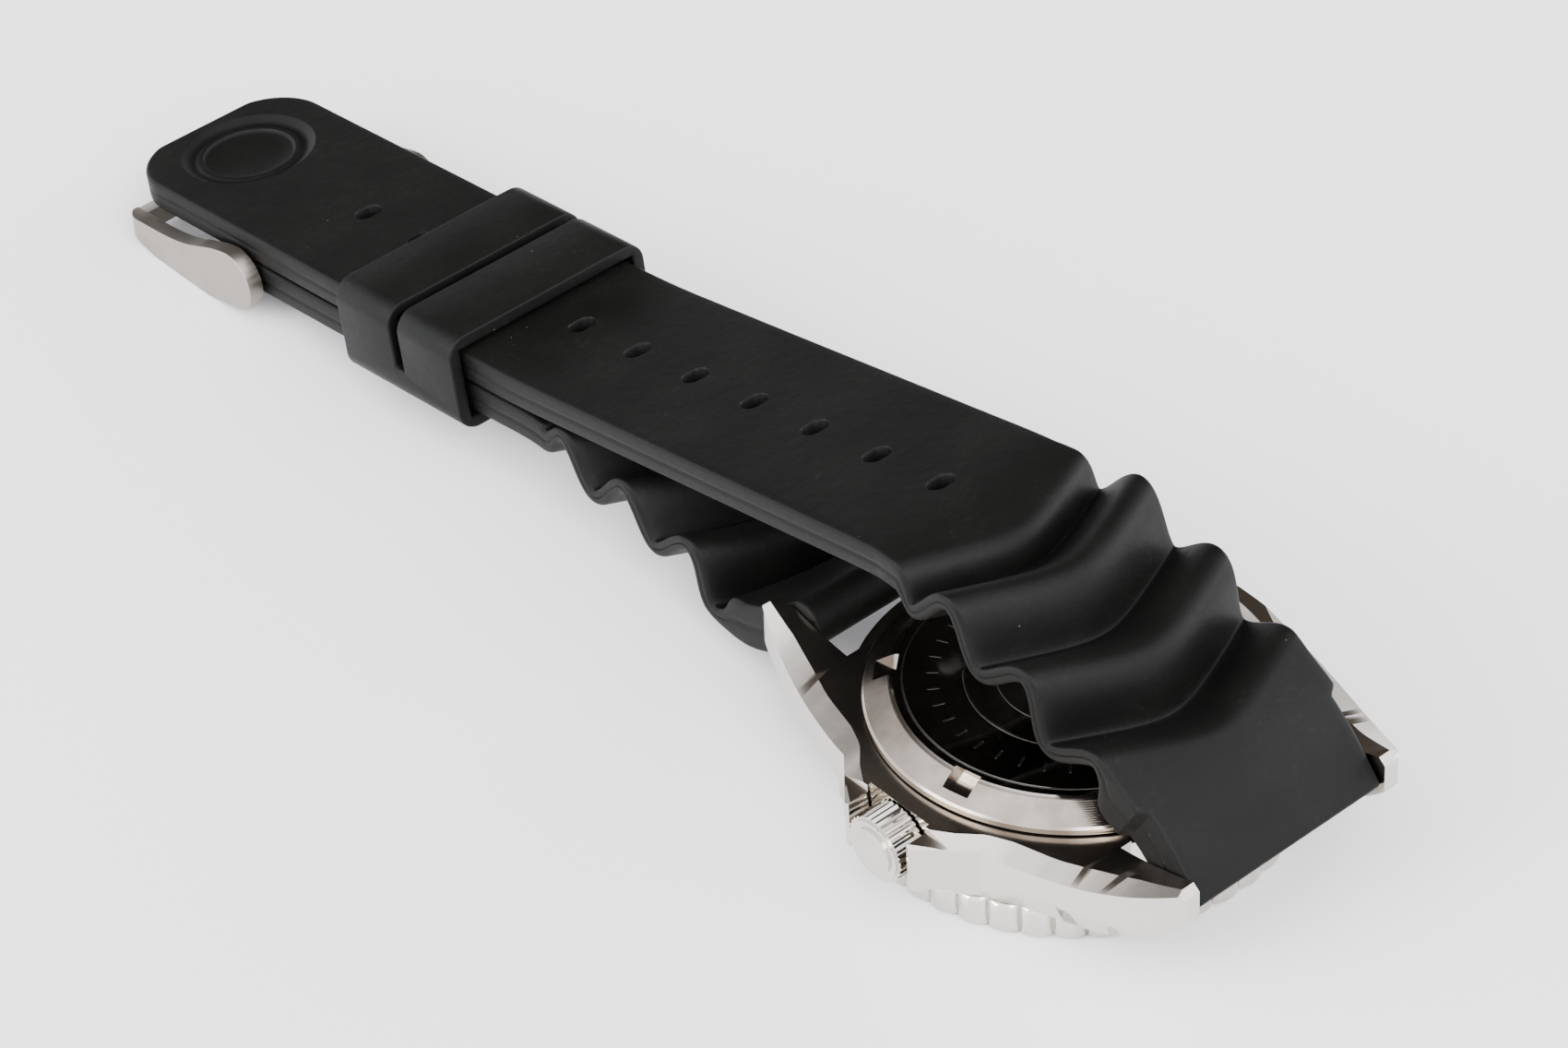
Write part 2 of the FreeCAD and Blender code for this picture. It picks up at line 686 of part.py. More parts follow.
def clutch_pinion():
    """Sliding pinion turned by the stem's square."""
    body = toothed(1.3, 16, 0, 2.4)
    body.rotate(Vector(0, 0, 0), Vector(0, 1, 0), -90)
    body.translate(Vector(-10.9, 0, CROWN_Z))
    half = STEM_SQUARE / 2 + FIT
    return body.cut(block(-20, -5, -half, half, CROWN_Z - half, CROWN_Z + half))


# ---------------------------------------------------------------- strap

def smooth(value, low, high):
    """Smooth step from 0 at low to 1 at high."""
    share = min(1.0, max(0.0, (value - low) / (high - low)))
    return share * share * (3 - 2 * share)


def strand_outline(base, hump, pitch, amp, flat_s, start, side, stop_y):
    """Closed YZ outline of a strand's end block, three humps and first flat stretch.

    side is +1 where the humps rise and -1 where they hang. Up to the first crest the outer
    face is a straight wedge.
    """
    curve = Part.BSplineCurve()
    curve.interpolate([Vector(0, y, z) for y, z in base])
    first = curve.FirstParameter
    upper = []
    lower = []
    step = 0.5
    s = start
    while True:
        u = curve.parameterAtDistance(max(s, 0.0), first)
        tangent = curve.tangent(u)[0]
        point = curve.value(u) + tangent * min(s, 0.0)
        if point.y > stop_y:
            break
        normal = Vector(0, -tangent.z, tangent.y)
        humps = smooth(s, hump - 0.5 * pitch, hump - 0.2 * pitch)
        humps *= 1 - smooth(s, flat_s - 2.6, flat_s)
        phase = 2 * math.pi * (s - hump) / pitch
        slope = -side * amp * humps * 2 * math.pi / pitch * math.sin(phase)
        middle = point + normal * (side * amp * humps * math.cos(phase))
        lean = (normal - tangent * slope) * (1 / math.hypot(1, slope))
        thick = STRAP_SLAB_T + (STRAP_RIB_T - STRAP_SLAB_T) * smooth(s, hump - 4.5, hump - 1.5)
        thick += (STRAP_FLAT_T - STRAP_RIB_T) * smooth(s, flat_s - 2.2, flat_s)
        outer = middle + lean * (0.5 * side * thick)
        inner = middle - lean * (0.5 * side * thick)
        if s < hump:
            rise = min(1.0, max(0.0, (s - WEDGE_S) / (hump - WEDGE_S)))
            cover = STRAP_SLAB_T / 2 + rise * (amp + STRAP_RIB_T / 2 - STRAP_SLAB_T / 2)
            outer = point + normal * (side * cover)
        upper.append(outer if side > 0 else inner)
        lower.append(inner if side > 0 else outer)
        s += step
    top = Part.BSplineCurve()
    top.interpolate(upper)
    under = Part.BSplineCurve()
    under.interpolate(lower)
    ends = [Part.makeLine(upper[0], lower[0]), Part.makeLine(upper[-1], lower[-1])]
    return Part.__sortEdges__([top.toShape(), ends[1], under.toShape(), ends[0]]), upper[-1], lower[-1]


def plan_block(rows):
    """Tall prism from (y, half width) rows, mirrored about X = 0."""
    points = [(half, y) for y, half in rows] + [(-half, y) for y, half in reversed(rows)]
    return polygon_z(points, -5, 40)


def strap_tail_wave():
    """Tail strand, part one: end block on the lug bar and three humps."""
    edges, top, under = strand_outline(
        TAIL_BASE, TAIL_HUMP, TAIL_PITCH, TAIL_AMP, TAIL_FLAT_S, -2.6, 1, TAIL_SPLIT_Y)
    body = prism_x(edges, -12, 12)
    body = body.cut(rod_x(BAR_HOLE_R, -13, 13, -LUG_BAR_Y, LUG_BAR_Z))
    return body.common(plan_block([
        (-30, LUG_HALF_W), (-18.4, LUG_HALF_W), (-17.9, WAVE_HALF_W), (4, WAVE_HALF_W),
        (TAIL_SPLIT_Y, 10.65)]))


def tail_hole(y, centre_z, slope):
    """Oval cutter square to the tail's surface."""
    ends = [Part.makeCylinder(HOLE_HALF, 12, Vector(x, 0, -6)) for x in (-HOLE_WIDE, HOLE_WIDE)]
    cutter = fused(ends + [block(-HOLE_WIDE, HOLE_WIDE, -HOLE_HALF, HOLE_HALF, -6, 6)])
    cutter.rotate(Vector(0, 0, 0), AXIS_X, math.degrees(math.atan(slope)))
    cutter.translate(Vector(0, y, centre_z))
    return cutter


def strap_tail_flat():
    """Tail strand, part two: flat tail with adjustment holes and a round dimple."""
    half = STRAP_FLAT_T / 2
    start_y = TAIL_SPLIT_Y + 0.25
    start_z = 22.83
    bend_z = tail_z(TAIL_BEND_Y)
    line = [(start_y, start_z), (TAIL_BEND_Y, bend_z), (TAIL_END_Y, tail_z(TAIL_END_Y))]
    outline = [(y, z + half) for y, z in line] + [(y, z - half) for y, z in reversed(line)]
    body = polygon_x(outline, -12, 12)
    corner = TAIL_END_Y - TAIL_CORNER_R
    rows = [(start_y - 1, 10.65), (70.0, 10.1), (corner, FLAT_HALF_W)]
    for angle in (15, 30, 45, 60, 75, 90):
        dx, dy = polar(TAIL_CORNER_R, angle)
        rows.append((corner + dy, FLAT_HALF_W - TAIL_CORNER_R + dx))
    body = body.common(plan_block(rows))
    slope = (bend_z - start_z) / (TAIL_BEND_Y - start_y)
    for index in range(HOLES):
        y = HOLE_FIRST_Y + HOLE_PITCH * index
        if y < TAIL_BEND_Y:
            body = body.cut(tail_hole(y, start_z + slope * (y - start_y), slope))
        else:
            body = body.cut(tail_hole(y, tail_z(y), FLAT_SLOPE))
    dimple = Part.makeCylinder(DIMPLE_R, 5, Vector(0, 0, half - DIMPLE_DEPTH))
    dimple.rotate(Vector(0, 0, 0), AXIS_X, math.degrees(math.atan(FLAT_SLOPE)))
    dimple.translate(Vector(0, DIMPLE_Y, tail_z(DIMPLE_Y)))
    return body.cut(dimple)


def strap_buckle_half():
    """Buckle strand: end block, humps, flat part and the loop round the buckle bar."""
    edges, top, under = strand_outline(
        BUCKLE_BASE, BUCKLE_HUMP, BUCKLE_PITCH, BUCKLE_AMP, BUCKLE_FLAT_S, 0.0, -1, BUCKLE_FLAT_Y)
    waves = prism_x(edges, -12, 12)
    root = rod_x(STRAP_SLAB_T / 2, -12, 12, LUG_BAR_Y, LUG_BAR_Z)
    end_y = BUCKLE_BAR_Y
    half = STRAP_FLAT_T / 2
    flat = polygon_x([
        (top.y, top.z), (end_y, flat_z(end_y) + half), (end_y, flat_z(end_y) - half),
        (under.y, under.z)], -12, 12)
    loop = rod_x(half, -12, 12, BUCKLE_BAR_Y, BUCKLE_BAR_Z)
    body = fused([waves, root, flat, loop])
    body = body.cut(rod_x(BAR_HOLE_R, -13, 13, LUG_BAR_Y, LUG_BAR_Z))
    body = body.cut(rod_x(BAR_HOLE_R, -13, 13, BUCKLE_BAR_Y, BUCKLE_BAR_Z))
    body = body.common(plan_block([
        (15, LUG_HALF_W), (34, LUG_HALF_W), (BUCKLE_FLAT_Y, FLAT_HALF_W), (115, FLAT_HALF_W)]))
    slot = TONGUE_HALF_W + 0.4
    return body.cut(block(-slot, slot, BUCKLE_BAR_Y - 4, BUCKLE_BAR_Y + 4, -5, 12))


def keeper():
    """One-piece double loop: two raised bands joined low on the sides."""
    inner_w = FLAT_HALF_W + 0.45
    outer_w = inner_w + KEEPER_WALL
    low = -STRAP_FLAT_T / 2 - KEEPER_SLACK
    high = 1.5 * STRAP_FLAT_T + LAYER_GAP + KEEPER_SLACK
    body = block(-outer_w, outer_w, 0, KEEPER_LENGTH, low - KEEPER_WALL, high + KEEPER_WALL)
    body = body.makeFillet(KEEPER_ROUND, [e for e in body.Edges if abs(e.tangentAt(0).y) > 0.9])
    body = body.cut(block(-inner_w, inner_w, -1, KEEPER_LENGTH + 1, low, high))
    middle = KEEPER_LENGTH / 2
    slot = block(-20, 20, middle - KEEPER_SLOT / 2, middle + KEEPER_SLOT / 2, low + 2.3, high + 3)
    body = body.cut(slot)
    angle = math.degrees(math.atan(FLAT_SLOPE))
    body.rotate(Vector(0, 0, 0), AXIS_X, angle)
    body.translate(Vector(0, KEEPER_Y0, flat_z(KEEPER_Y0)))
    return body


# ---------------------------------------------------------------- buckle

def cheek_outline():
    """Side outline of the buckle: tall and round at the bar, thin at the free end."""
    y0, z0 = BUCKLE_BAR_Y, BUCKLE_BAR_Z
    top = Vector(0, y0 + 0.3, z0 + 3.1)
    back = Vector(0, y0 - 3.3, z0 + 0.2)
    low = Vector(0, y0 - 0.3, z0 - 3.1)
    belly = Vector(0, y0 + 4.5, 0.0)
    heel = Vector(0, y0 + 13.0, 0.0)
    tip_low = Vector(0, BUCKLE_TIP_Y - 0.7, 1.0)
    tip = Vector(0, BUCKLE_TIP_Y, 2.0)
    tip_high = Vector(0, BUCKLE_TIP_Y - 0.7, 3.1)
    ridge = Part.BSplineCurve()
    ridge.interpolate([
        tip_high, Vector(0, y0 + 12.2, 3.7), Vector(0, y0 + 7.0, 4.8), Vector(0, y0 + 3.3, 6.3), top])
    return [
        Part.Arc(top, back, low).toShape(), Part.makeLine(low, belly), Part.makeLine(belly, heel),
        Part.makeLine(heel, tip_low), Part.Arc(tip_low, tip, tip_high).toShape(), ridge.toShape()]


def buckle_frame():
    """Buckle frame: two cheeks and the rounded front bar that the tongue rests on."""
    cheeks = []
    for x0 in (BUCKLE_CHEEK_X0, -BUCKLE_CHEEK_X1):
        cheeks.append(prism_x(cheek_outline(), x0, x0 + BUCKLE_CHEEK_X1 - BUCKLE_CHEEK_X0))
    end = BUCKLE_TIP_Y
    bar = polygon_x([(end - 2.6, 1.3), (end - 0.5, 1.25), (end - 0.2, 2.6), (end - 2.3, 3.2)], -11, 11)
    body = fused(cheeks + [bar])
    plan = block(-BUCKLE_CHEEK_X1, BUCKLE_CHEEK_X1, BUCKLE_BAR_Y - 6, end, -1, 12)
    front = [e for e in plan.Edges if abs(e.tangentAt(0).z) > 0.9 and e.BoundBox.YMin > end - 0.1]
    body = body.common(plan.makeFillet(BUCKLE_CORNER_R, front))
    for x0 in (BUCKLE_CHEEK_X0 - 0.1, -BUCKLE_CHEEK_X0 - 1.1):
        body = body.cut(rod_x(0.65, x0, x0 + 1.2, BUCKLE_BAR_Y, BUCKLE_BAR_Z))
    return body


def buckle_spring_bar():
    """Sprung bar through the strap's loop."""
    body = rod_x(BAR_R, -10.3, 10.3, BUCKLE_BAR_Y, BUCKLE_BAR_Z)
    return body.fuse(rod_x(0.6, -11.4, 11.4, BUCKLE_BAR_Y, BUCKLE_BAR_Z)).removeSplitter()


def buckle_tongue():
    """Tongue hooked on the spring bar, its tip under the frame's bar."""
    y0, z0 = BUCKLE_BAR_Y, BUCKLE_BAR_Z
    eye = rod_x(1.6, -TONGUE_HALF_W, TONGUE_HALF_W, y0, z0)
    blade = polygon_x([
        (y0, z0 - 1.55), (y0 + 7, 0.5), (y0 + 15.5, 0.3), (BUCKLE_TIP_Y + 0.1, 0.4),
        (BUCKLE_TIP_Y + 0.1, 1.0), (y0 + 15, 1.1), (y0 + 7, 1.7), (y0, z0 - 0.3)],
        -TONGUE_HALF_W, TONGUE_HALF_W)
    body = fused([eye, blade])
    return body.cut(rod_x(BAR_R + FIT, -5, 5, y0, z0))


PIECES = [
    bezel_ring, bezel_insert, bezel_pip, bezel_click_spring, crystal, crystal_gasket, case_body,
    crown_tube, case_back, case_back_gasket, lug_spring_bars, dial, chapter_ring, hour_hand,
    minute_hand, seconds_hand, date_disc, day_disc, hour_wheel, mainplate, movement_ring,
    train_bridge, balance_cock, movement_screws, centre_wheel, third_wheel, fourth_wheel,
    escape_wheel, pallet_fork, balance_wheel, hairspring, barrel_drum, barrel_cover,
    barrel_arbor, mainspring, rotor_bearing, rotor, crown, crown_gasket, winding_stem,
    clutch_pinion, strap_tail_wave, strap_tail_flat, strap_buckle_half, keeper, buckle_frame,
    buckle_spring_bar, buckle_tongue]


def main():
    """Write each piece to its own file."""
    os.makedirs("parts", exist_ok=True)
    for make in PIECES:
        shape = make()
        shape.exportStep(f"parts/{make.__name__}.step")
        print(make.__name__, len(shape.Solids), round(shape.Volume, 2), shape.isValid())


main()
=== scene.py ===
"""Looks of a dive watch lying on its bezel, its rubber strap folded over the case back.

Sizes are in millimetres until a mesh is made. The frame is the CAD's: +Z from the dial side to
the case back, +Y along the folded strap, -X to the crown, origin on the bezel's rest plane.
"""

import logging
import math
from dataclasses import dataclass, field
from enum import Enum
from typing import Any, Callable, Mapping, Sequence

import bmesh
import bpy
import numpy as np
from mathutils import Matrix, Vector


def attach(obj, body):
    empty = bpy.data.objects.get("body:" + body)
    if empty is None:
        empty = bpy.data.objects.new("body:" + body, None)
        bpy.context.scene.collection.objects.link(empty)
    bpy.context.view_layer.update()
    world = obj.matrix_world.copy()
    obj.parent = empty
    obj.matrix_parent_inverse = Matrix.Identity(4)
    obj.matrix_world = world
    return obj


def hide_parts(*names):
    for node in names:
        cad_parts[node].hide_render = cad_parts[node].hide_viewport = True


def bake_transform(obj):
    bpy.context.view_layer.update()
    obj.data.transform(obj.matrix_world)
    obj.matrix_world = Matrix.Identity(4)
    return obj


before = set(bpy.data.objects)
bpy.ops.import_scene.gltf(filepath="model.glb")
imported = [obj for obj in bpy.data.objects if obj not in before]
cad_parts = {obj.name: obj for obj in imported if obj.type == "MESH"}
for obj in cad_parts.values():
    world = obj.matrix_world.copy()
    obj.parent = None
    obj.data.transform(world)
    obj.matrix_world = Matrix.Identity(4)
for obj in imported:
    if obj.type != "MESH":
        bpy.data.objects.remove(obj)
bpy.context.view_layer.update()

LOG = logging.getLogger("dive_watch")
MM = 0.001
Colour = tuple[float, float, float]
Point2 = tuple[float, float]


# ---------------------------------------------------------------- shader graphs

class Wire:
    """A number that runs through a shader graph and takes part in arithmetic."""

    def __init__(self, graph: "Graph", socket: bpy.types.NodeSocket) -> None:
        """Wrap an output socket of a graph."""
        self.graph = graph
        self.socket = socket

    def _math(self, operation: str, *others: "Wire | float") -> "Wire":
        """One Math node on this number and the others, in that order."""
        return self.graph.math(operation, self, *others)

    def __add__(self, other: "Wire | float") -> "Wire":
        """Sum."""
        return self._math("ADD", other)

    __radd__ = __add__

    def __sub__(self, other: "Wire | float") -> "Wire":
        """Difference."""
        return self._math("SUBTRACT", other)

    def __rsub__(self, other: float) -> "Wire":
        """Difference from a plain number."""
        return self.graph.math("SUBTRACT", other, self)

    def __mul__(self, other: "Wire | float") -> "Wire":
        """Product."""
        return self._math("MULTIPLY", other)

    __rmul__ = __mul__

    def __pow__(self, other: "Wire | float") -> "Wire":
        """Power."""
        return self._math("POWER", other)

    def at_most(self, other: "Wire | float") -> "Wire":
        """The smaller of two numbers."""
        return self._math("MINIMUM", other)

    def at_least(self, other: "Wire | float") -> "Wire":
        """The larger of two numbers."""
        return self._math("MAXIMUM", other)

    def size(self) -> "Wire":
        """The number without its sign."""
        return self._math("ABSOLUTE")

    def rise(self, low: float, high: float) -> "Wire":
        """Smooth step from 0 at low to 1 at high.

        Args:
            low: Where the step starts.
            high: Where it ends.

        Returns:
            The step as a new number.
        """
        made = self.graph.node(
            "ShaderNodeMapRange", {"interpolation_type": "SMOOTHSTEP"},
            {"Value": self, "From Min": low, "From Max": high})
        return Wire(self.graph, made.outputs["Result"])

    def band(self, centre: float, half: float, soft: float) -> "Wire":
        """1 within half of centre, falling to 0 over soft.

        Args:
            centre: Middle of the band.
            half: Half of its width.
            soft: Width of each falling side.

        Returns:
            The band's mask.
        """
        return 1 - (self - centre).size().rise(half, half + soft)


class Graph:
    """A material's node tree, with one method that makes any node."""

    def __init__(self, name: str) -> None:
        """Start an empty material of that name."""
        self.material = bpy.data.materials.new(name)
        self.material.use_nodes = True
        self.tree = self.material.node_tree
        self.tree.nodes.clear()
        self.coordinates = self.node("ShaderNodeTexCoord")

    def node(
            self, kind: str, settings: Mapping[str, Any] | None = None,
            inputs: Mapping[str | int, Any] | None = None) -> bpy.types.Node:
        """Make a node.

        Args:
            kind: The node's type.
            settings: Attributes, set before the sockets.
            inputs: Socket name or index to a number, colour, socket or Wire.

        Returns:
            The new node.
        """
        made = self.tree.nodes.new(kind)
        for name, value in (settings or {}).items():
            setattr(made, name, value)
        for key, value in (inputs or {}).items():
            socket = value.socket if isinstance(value, Wire) else value
            if isinstance(socket, bpy.types.NodeSocket):
                self.tree.links.new(socket, made.inputs[key])
            else:
                made.inputs[key].default_value = value
        return made

    def math(self, operation: str, *operands: Wire | float) -> Wire:
        """One Math node on the operands, in order."""
        made = self.node("ShaderNodeMath", {"operation": operation}, dict(enumerate(operands)))
        return Wire(self, made.outputs[0])

    def place(
            self, stretch: Sequence[float] = (1, 1, 1),
            turn: float = 0.0) -> bpy.types.NodeSocket:
        """Object coordinates in millimetres.

        Args:
            stretch: Factor on each axis after the turn.
            turn: Turn about Z, in degrees.

        Returns:
            The coordinates' socket.
        """
        scale = [1000.0 * value for value in stretch]
        made = self.node(
            "ShaderNodeMapping", {}, {
                "Vector": self.coordinates.outputs["Object"],
                "Rotation": (0, 0, math.radians(turn)), "Scale": scale})
        return made.outputs["Vector"]

    def axes(self) -> tuple[Wire, Wire, Wire]:
        """X, Y and Z of the surface, in millimetres."""
        made = self.node("ShaderNodeSeparateXYZ", {}, {0: self.place()})
        return tuple(Wire(self, made.outputs[index]) for index in range(3))

    def facing(self) -> tuple[Wire, Wire, Wire]:
        """X, Y and Z of the surface's own normal."""
        made = self.node("ShaderNodeSeparateXYZ", {}, {0: self.coordinates.outputs["Normal"]})
        return tuple(Wire(self, made.outputs[index]) for index in range(3))

    def noise(
            self, grain: float, detail: float = 2.0, stretch: Sequence[float] = (1, 1, 1),
            turn: float = 0.0) -> Wire:
        """Noise about 0.5.

        Args:
            grain: Size of its spots, in millimetres.
            detail: Number of finer layers.
            stretch: Factor on each axis, above 1 for finer.
            turn: Turn about Z, in degrees.

        Returns:
            The noise.
        """
        made = self.node(
            "ShaderNodeTexNoise", {}, {
                "Vector": self.place(stretch, turn), "Scale": 1.0 / grain, "Detail": detail})
        return Wire(self, made.outputs[0])

    def specks(self, cell: float, share: float) -> Wire:
        """Scattered round dots.

        Args:
            cell: Mean distance between them, in millimetres.
            share: Their radius as a share of that distance.

        Returns:
            Mask of the dots.
        """
        made = self.node(
            "ShaderNodeTexVoronoi", {"feature": "F1"}, {"Vector": self.place(), "Scale": 1.0 / cell})
        return 1 - Wire(self, made.outputs["Distance"]).rise(share * 0.6, share)

    def scratches(self, spacing: float, turn: float) -> Wire:
        """Fine straight hairlines in one direction.

        Args:
            spacing: Mean distance between them, in millimetres.
            turn: Their direction in the XY plane, in degrees.

        Returns:
            Mask of the hairlines.
        """
        lines = self.noise(spacing, 0.0, (0.02, 1.0, 1.0), turn)
        return lines.rise(0.66, 0.70) * self.noise(4.0).rise(0.45, 0.6)

    def edges(self, low: float, high: float) -> Wire:
        """Mask of outer edges.

        Args:
            low: Pointiness where the mask starts.
            high: Pointiness where it is full.

        Returns:
            The mask.
        """
        made = self.node("ShaderNodeNewGeometry")
        return Wire(self, made.outputs["Pointiness"]).rise(low, high)

    def mix(self, factor: Wire, first: Any, second: Any) -> bpy.types.NodeSocket:
        """Blend two colours.

        Args:
            factor: 0 for the first, 1 for the second.
            first: Colour or colour socket.
            second: Colour or colour socket.

        Returns:
            The blended colour's socket.
        """
        ends = [(*c, 1.0) if isinstance(c, tuple) else c for c in (first, second)]
        made = self.node(
            "ShaderNodeMix", {"data_type": "RGBA"}, {0: factor, 6: ends[0], 7: ends[1]})
        return made.outputs[2]

    def bump(self, layers: Sequence[tuple[Wire, float]]) -> bpy.types.NodeSocket:
        """Stack of bumps.

        Args:
            layers: Height and its depth in millimetres, for each layer.

        Returns:
            The bent normal's socket.
        """
        normal = None
        for height, depth in layers:
            inputs = {"Height": height, "Distance": depth * MM, "Strength": 1.0}
            if normal is not None:
                inputs["Normal"] = normal
            normal = self.node("ShaderNodeBump", {}, inputs).outputs["Normal"]
        return normal

    def finish(self, inputs: Mapping[str, Any]) -> bpy.types.Material:
        """Close the material with a Principled shader.

        Args:
            inputs: Its sockets' values or links.

        Returns:
            The material.
        """
        values = {k: (*v, 1.0) if k == "Base Color" and isinstance(v, tuple) else v
                  for k, v in inputs.items()}
        shader = self.node("ShaderNodeBsdfPrincipled", {}, values)
        self.node("ShaderNodeOutputMaterial", {}, {"Surface": shader.outputs[0]})
        return self.material


# ---------------------------------------------------------------- finishes

class Brush(Enum):
    """Direction in which a steel surface is brushed: factors on X, Y and Z."""

    ALONG_X = (0.03, 1.0, 1.0)
    ALONG_Y = (1.0, 0.03, 1.0)
    NONE = (1.0, 1.0, 1.0)


@dataclass(frozen=True)
class Rubber:
    """Matte moulded rubber with dust in its pores and a painted sheen along its edges."""

    name: str = "rubber_black"
    colour: Colour = (0.0017, 0.00175, 0.0015)
    # Lighter colour for random faded patches and for a painted sheen along the edges.
    faded_and_sheen: Colour = (0.0030, 0.0030, 0.0026)
    dust: Colour = (0.22, 0.21, 0.19)
    roughness: float = 0.42
    specular: float = 0.11

    def material(self) -> bpy.types.Material:
        """Build the material."""
        graph = Graph(self.name)
        cloud = graph.noise(8.0, 3.0)
        grain = graph.noise(0.16, 2.0)
        # Edge mask by pointiness: lowers roughness and lightens the colour along the edges as a painted
        # sheen.
        edge_wear_and_sheen = graph.edges(0.51, 0.60)
        film = (graph.noise(0.45, 2.0).rise(0.52, 0.75) * cloud.rise(0.45, 0.62)) * 0.012
        specks = graph.specks(2.6, 0.035) * graph.noise(6.0).rise(0.46, 0.56)
        # Uneven tone at random, plus a painted sheen on the edges.
        fading_and_edge_sheen = (cloud.rise(0.3, 0.7) * 0.6 + edge_wear_and_sheen * 0.4).at_most(1.0)
        colour = graph.mix(fading_and_edge_sheen, self.colour, self.faded_and_sheen)
        colour = graph.mix((film + specks * 0.3).at_most(1.0), colour, self.dust)
        rough = self.roughness + cloud * 0.12 + grain * 0.06 - edge_wear_and_sheen * 0.05
        normal = graph.bump([
            (graph.noise(1.5, 2.0), 0.035), (grain, 0.012), (graph.specks(0.9, 0.10), -0.01)])
        return graph.finish({
            "Base Color": colour, "Roughness": rough, "Normal": normal,
            "Specular IOR Level": self.specular})


@dataclass(frozen=True)
class Steel:
    """Stainless steel, brushed or polished, with hairlines and handling marks."""

    name: str
    brush: Brush = Brush.NONE
    colour: Colour = (0.62, 0.60, 0.57)
    smudge: Colour = (0.44, 0.41, 0.37)
    roughness: float = 0.12
    streak: float = 0.10
    depth: float = 0.0012

    def material(self) -> bpy.types.Material:
        """Build the material."""
        graph = Graph(self.name)
        cloud = graph.noise(3.5, 3.0)
        lines = graph.noise(0.07, 1.0, self.brush.value)
        hair = graph.scratches(0.12, 20.0).at_least(graph.scratches(0.16, -50.0))
        edge_wear_and_sheen = graph.edges(0.515, 0.60)
        colour = graph.mix(cloud.rise(0.45, 0.75) * 0.5, self.colour, self.smudge)
        rough = self.roughness + lines * self.streak + cloud * 0.06 + hair * 0.10 - edge_wear_and_sheen * 0.04
        normal = graph.bump([(lines, self.depth), (hair, -0.002), (cloud, 0.01)])
        return graph.finish({
            "Base Color": colour, "Roughness": rough.at_least(0.04), "Normal": normal,
            "Metallic": 1.0})


@dataclass(frozen=True)
class CaseSteel:
    """Middle case: brushed towards the back, polished on its flanks; its upward flat faces are painted
    darker and browner as a painted dark reflection.
    """

    name: str = "case_steel"
    colour: Colour = (0.54, 0.505, 0.455)
    # Darker, browner colour for the upward flat faces: a painted dark reflection.
    top_dark_reflection: Colour = (0.30, 0.25, 0.205)

    def material(self) -> bpy.types.Material:
        """Build the material."""
        graph = Graph(self.name)
        up = graph.facing()[2]
        flat = up.rise(0.90, 0.97)
        cloud = graph.noise(4.0, 3.0)
        lines = graph.noise(0.06, 1.0, Brush.ALONG_Y.value)
        hair = graph.scratches(0.13, 35.0).at_least(graph.scratches(0.17, -25.0))
        # Upward flat faces mixed towards the darker colour: a painted dark reflection, varied by noise.
        colour = graph.mix(flat * (0.45 + cloud * 0.4), self.colour, self.top_dark_reflection)
        rough = 0.09 + flat * (0.06 + lines * 0.05) + cloud * 0.05 + hair * 0.025
        normal = graph.bump([(lines * flat, 0.0006), (hair, -0.0004), (cloud, 0.02)])
        return graph.finish({
            "Base Color": colour, "Roughness": rough, "Normal": normal, "Metallic": 1.0})


@dataclass(frozen=True)
class BackSteel:
    """Case back: mirror flat with turned circles and a ring of plain ticks, satin slope painted darker
    and browner as a painted dark reflection.
    """

    name: str = "case_back_steel"
    colour: Colour = (0.50, 0.47, 0.43)
    tint: Colour = (0.36, 0.31, 0.26)
    # Darker, browner colour for the satin slope: a painted dark reflection.
    satin: Colour = (0.20, 0.165, 0.135)
    flat_r: float = 15.6
    circles: tuple[float, ...] = (14.7, 9.4, 6.6)
    tick_r: float = 12.1
    ticks: int = 36

    def material(self) -> bpy.types.Material:
        """Build the material."""
        graph = Graph(self.name)
        x, y = graph.axes()[:2]
        radius = (x * x + y * y) ** 0.5
        slope = radius.rise(self.flat_r, self.flat_r + 0.2)
        groove = graph.math("ADD", 0.0, 0.0)
        for circle in self.circles:
            groove = groove.at_least(radius.band(circle, 0.05, 0.05))
        angle = graph.math("ARCTAN2", y, x) * (self.ticks / (2 * math.pi))
        beat = graph.math("PINGPONG", angle, 0.5)
        tick = beat.rise(0.44, 0.47) * radius.band(self.tick_r, 0.5, 0.06)
        mark = groove.at_least(tick)
        cloud = graph.noise(3.0, 3.0)
        spun = graph.math("FRACT", radius * 5.5) * 0.6 + graph.noise(0.25, 1.0) * 0.4
        hair = graph.scratches(0.15, 10.0).at_least(graph.scratches(0.2, 70.0))
        colour = graph.mix(cloud.rise(0.4, 0.7) * 0.6, self.colour, self.tint)
        # The slope is mixed towards the darker colour: a painted dark reflection, varied by noise.
        colour = graph.mix(slope * (0.5 + cloud * 0.5), colour, self.satin)
        rough = 0.05 + slope * 0.11 + cloud * 0.05 + hair * 0.03 + mark * 0.14
        normal = graph.bump([(mark, -0.015), (spun * slope, 0.003), (hair, -0.0006), (cloud, 0.008)])
        return graph.finish({
            "Base Color": colour, "Roughness": rough, "Normal": normal, "Metallic": 1.0})


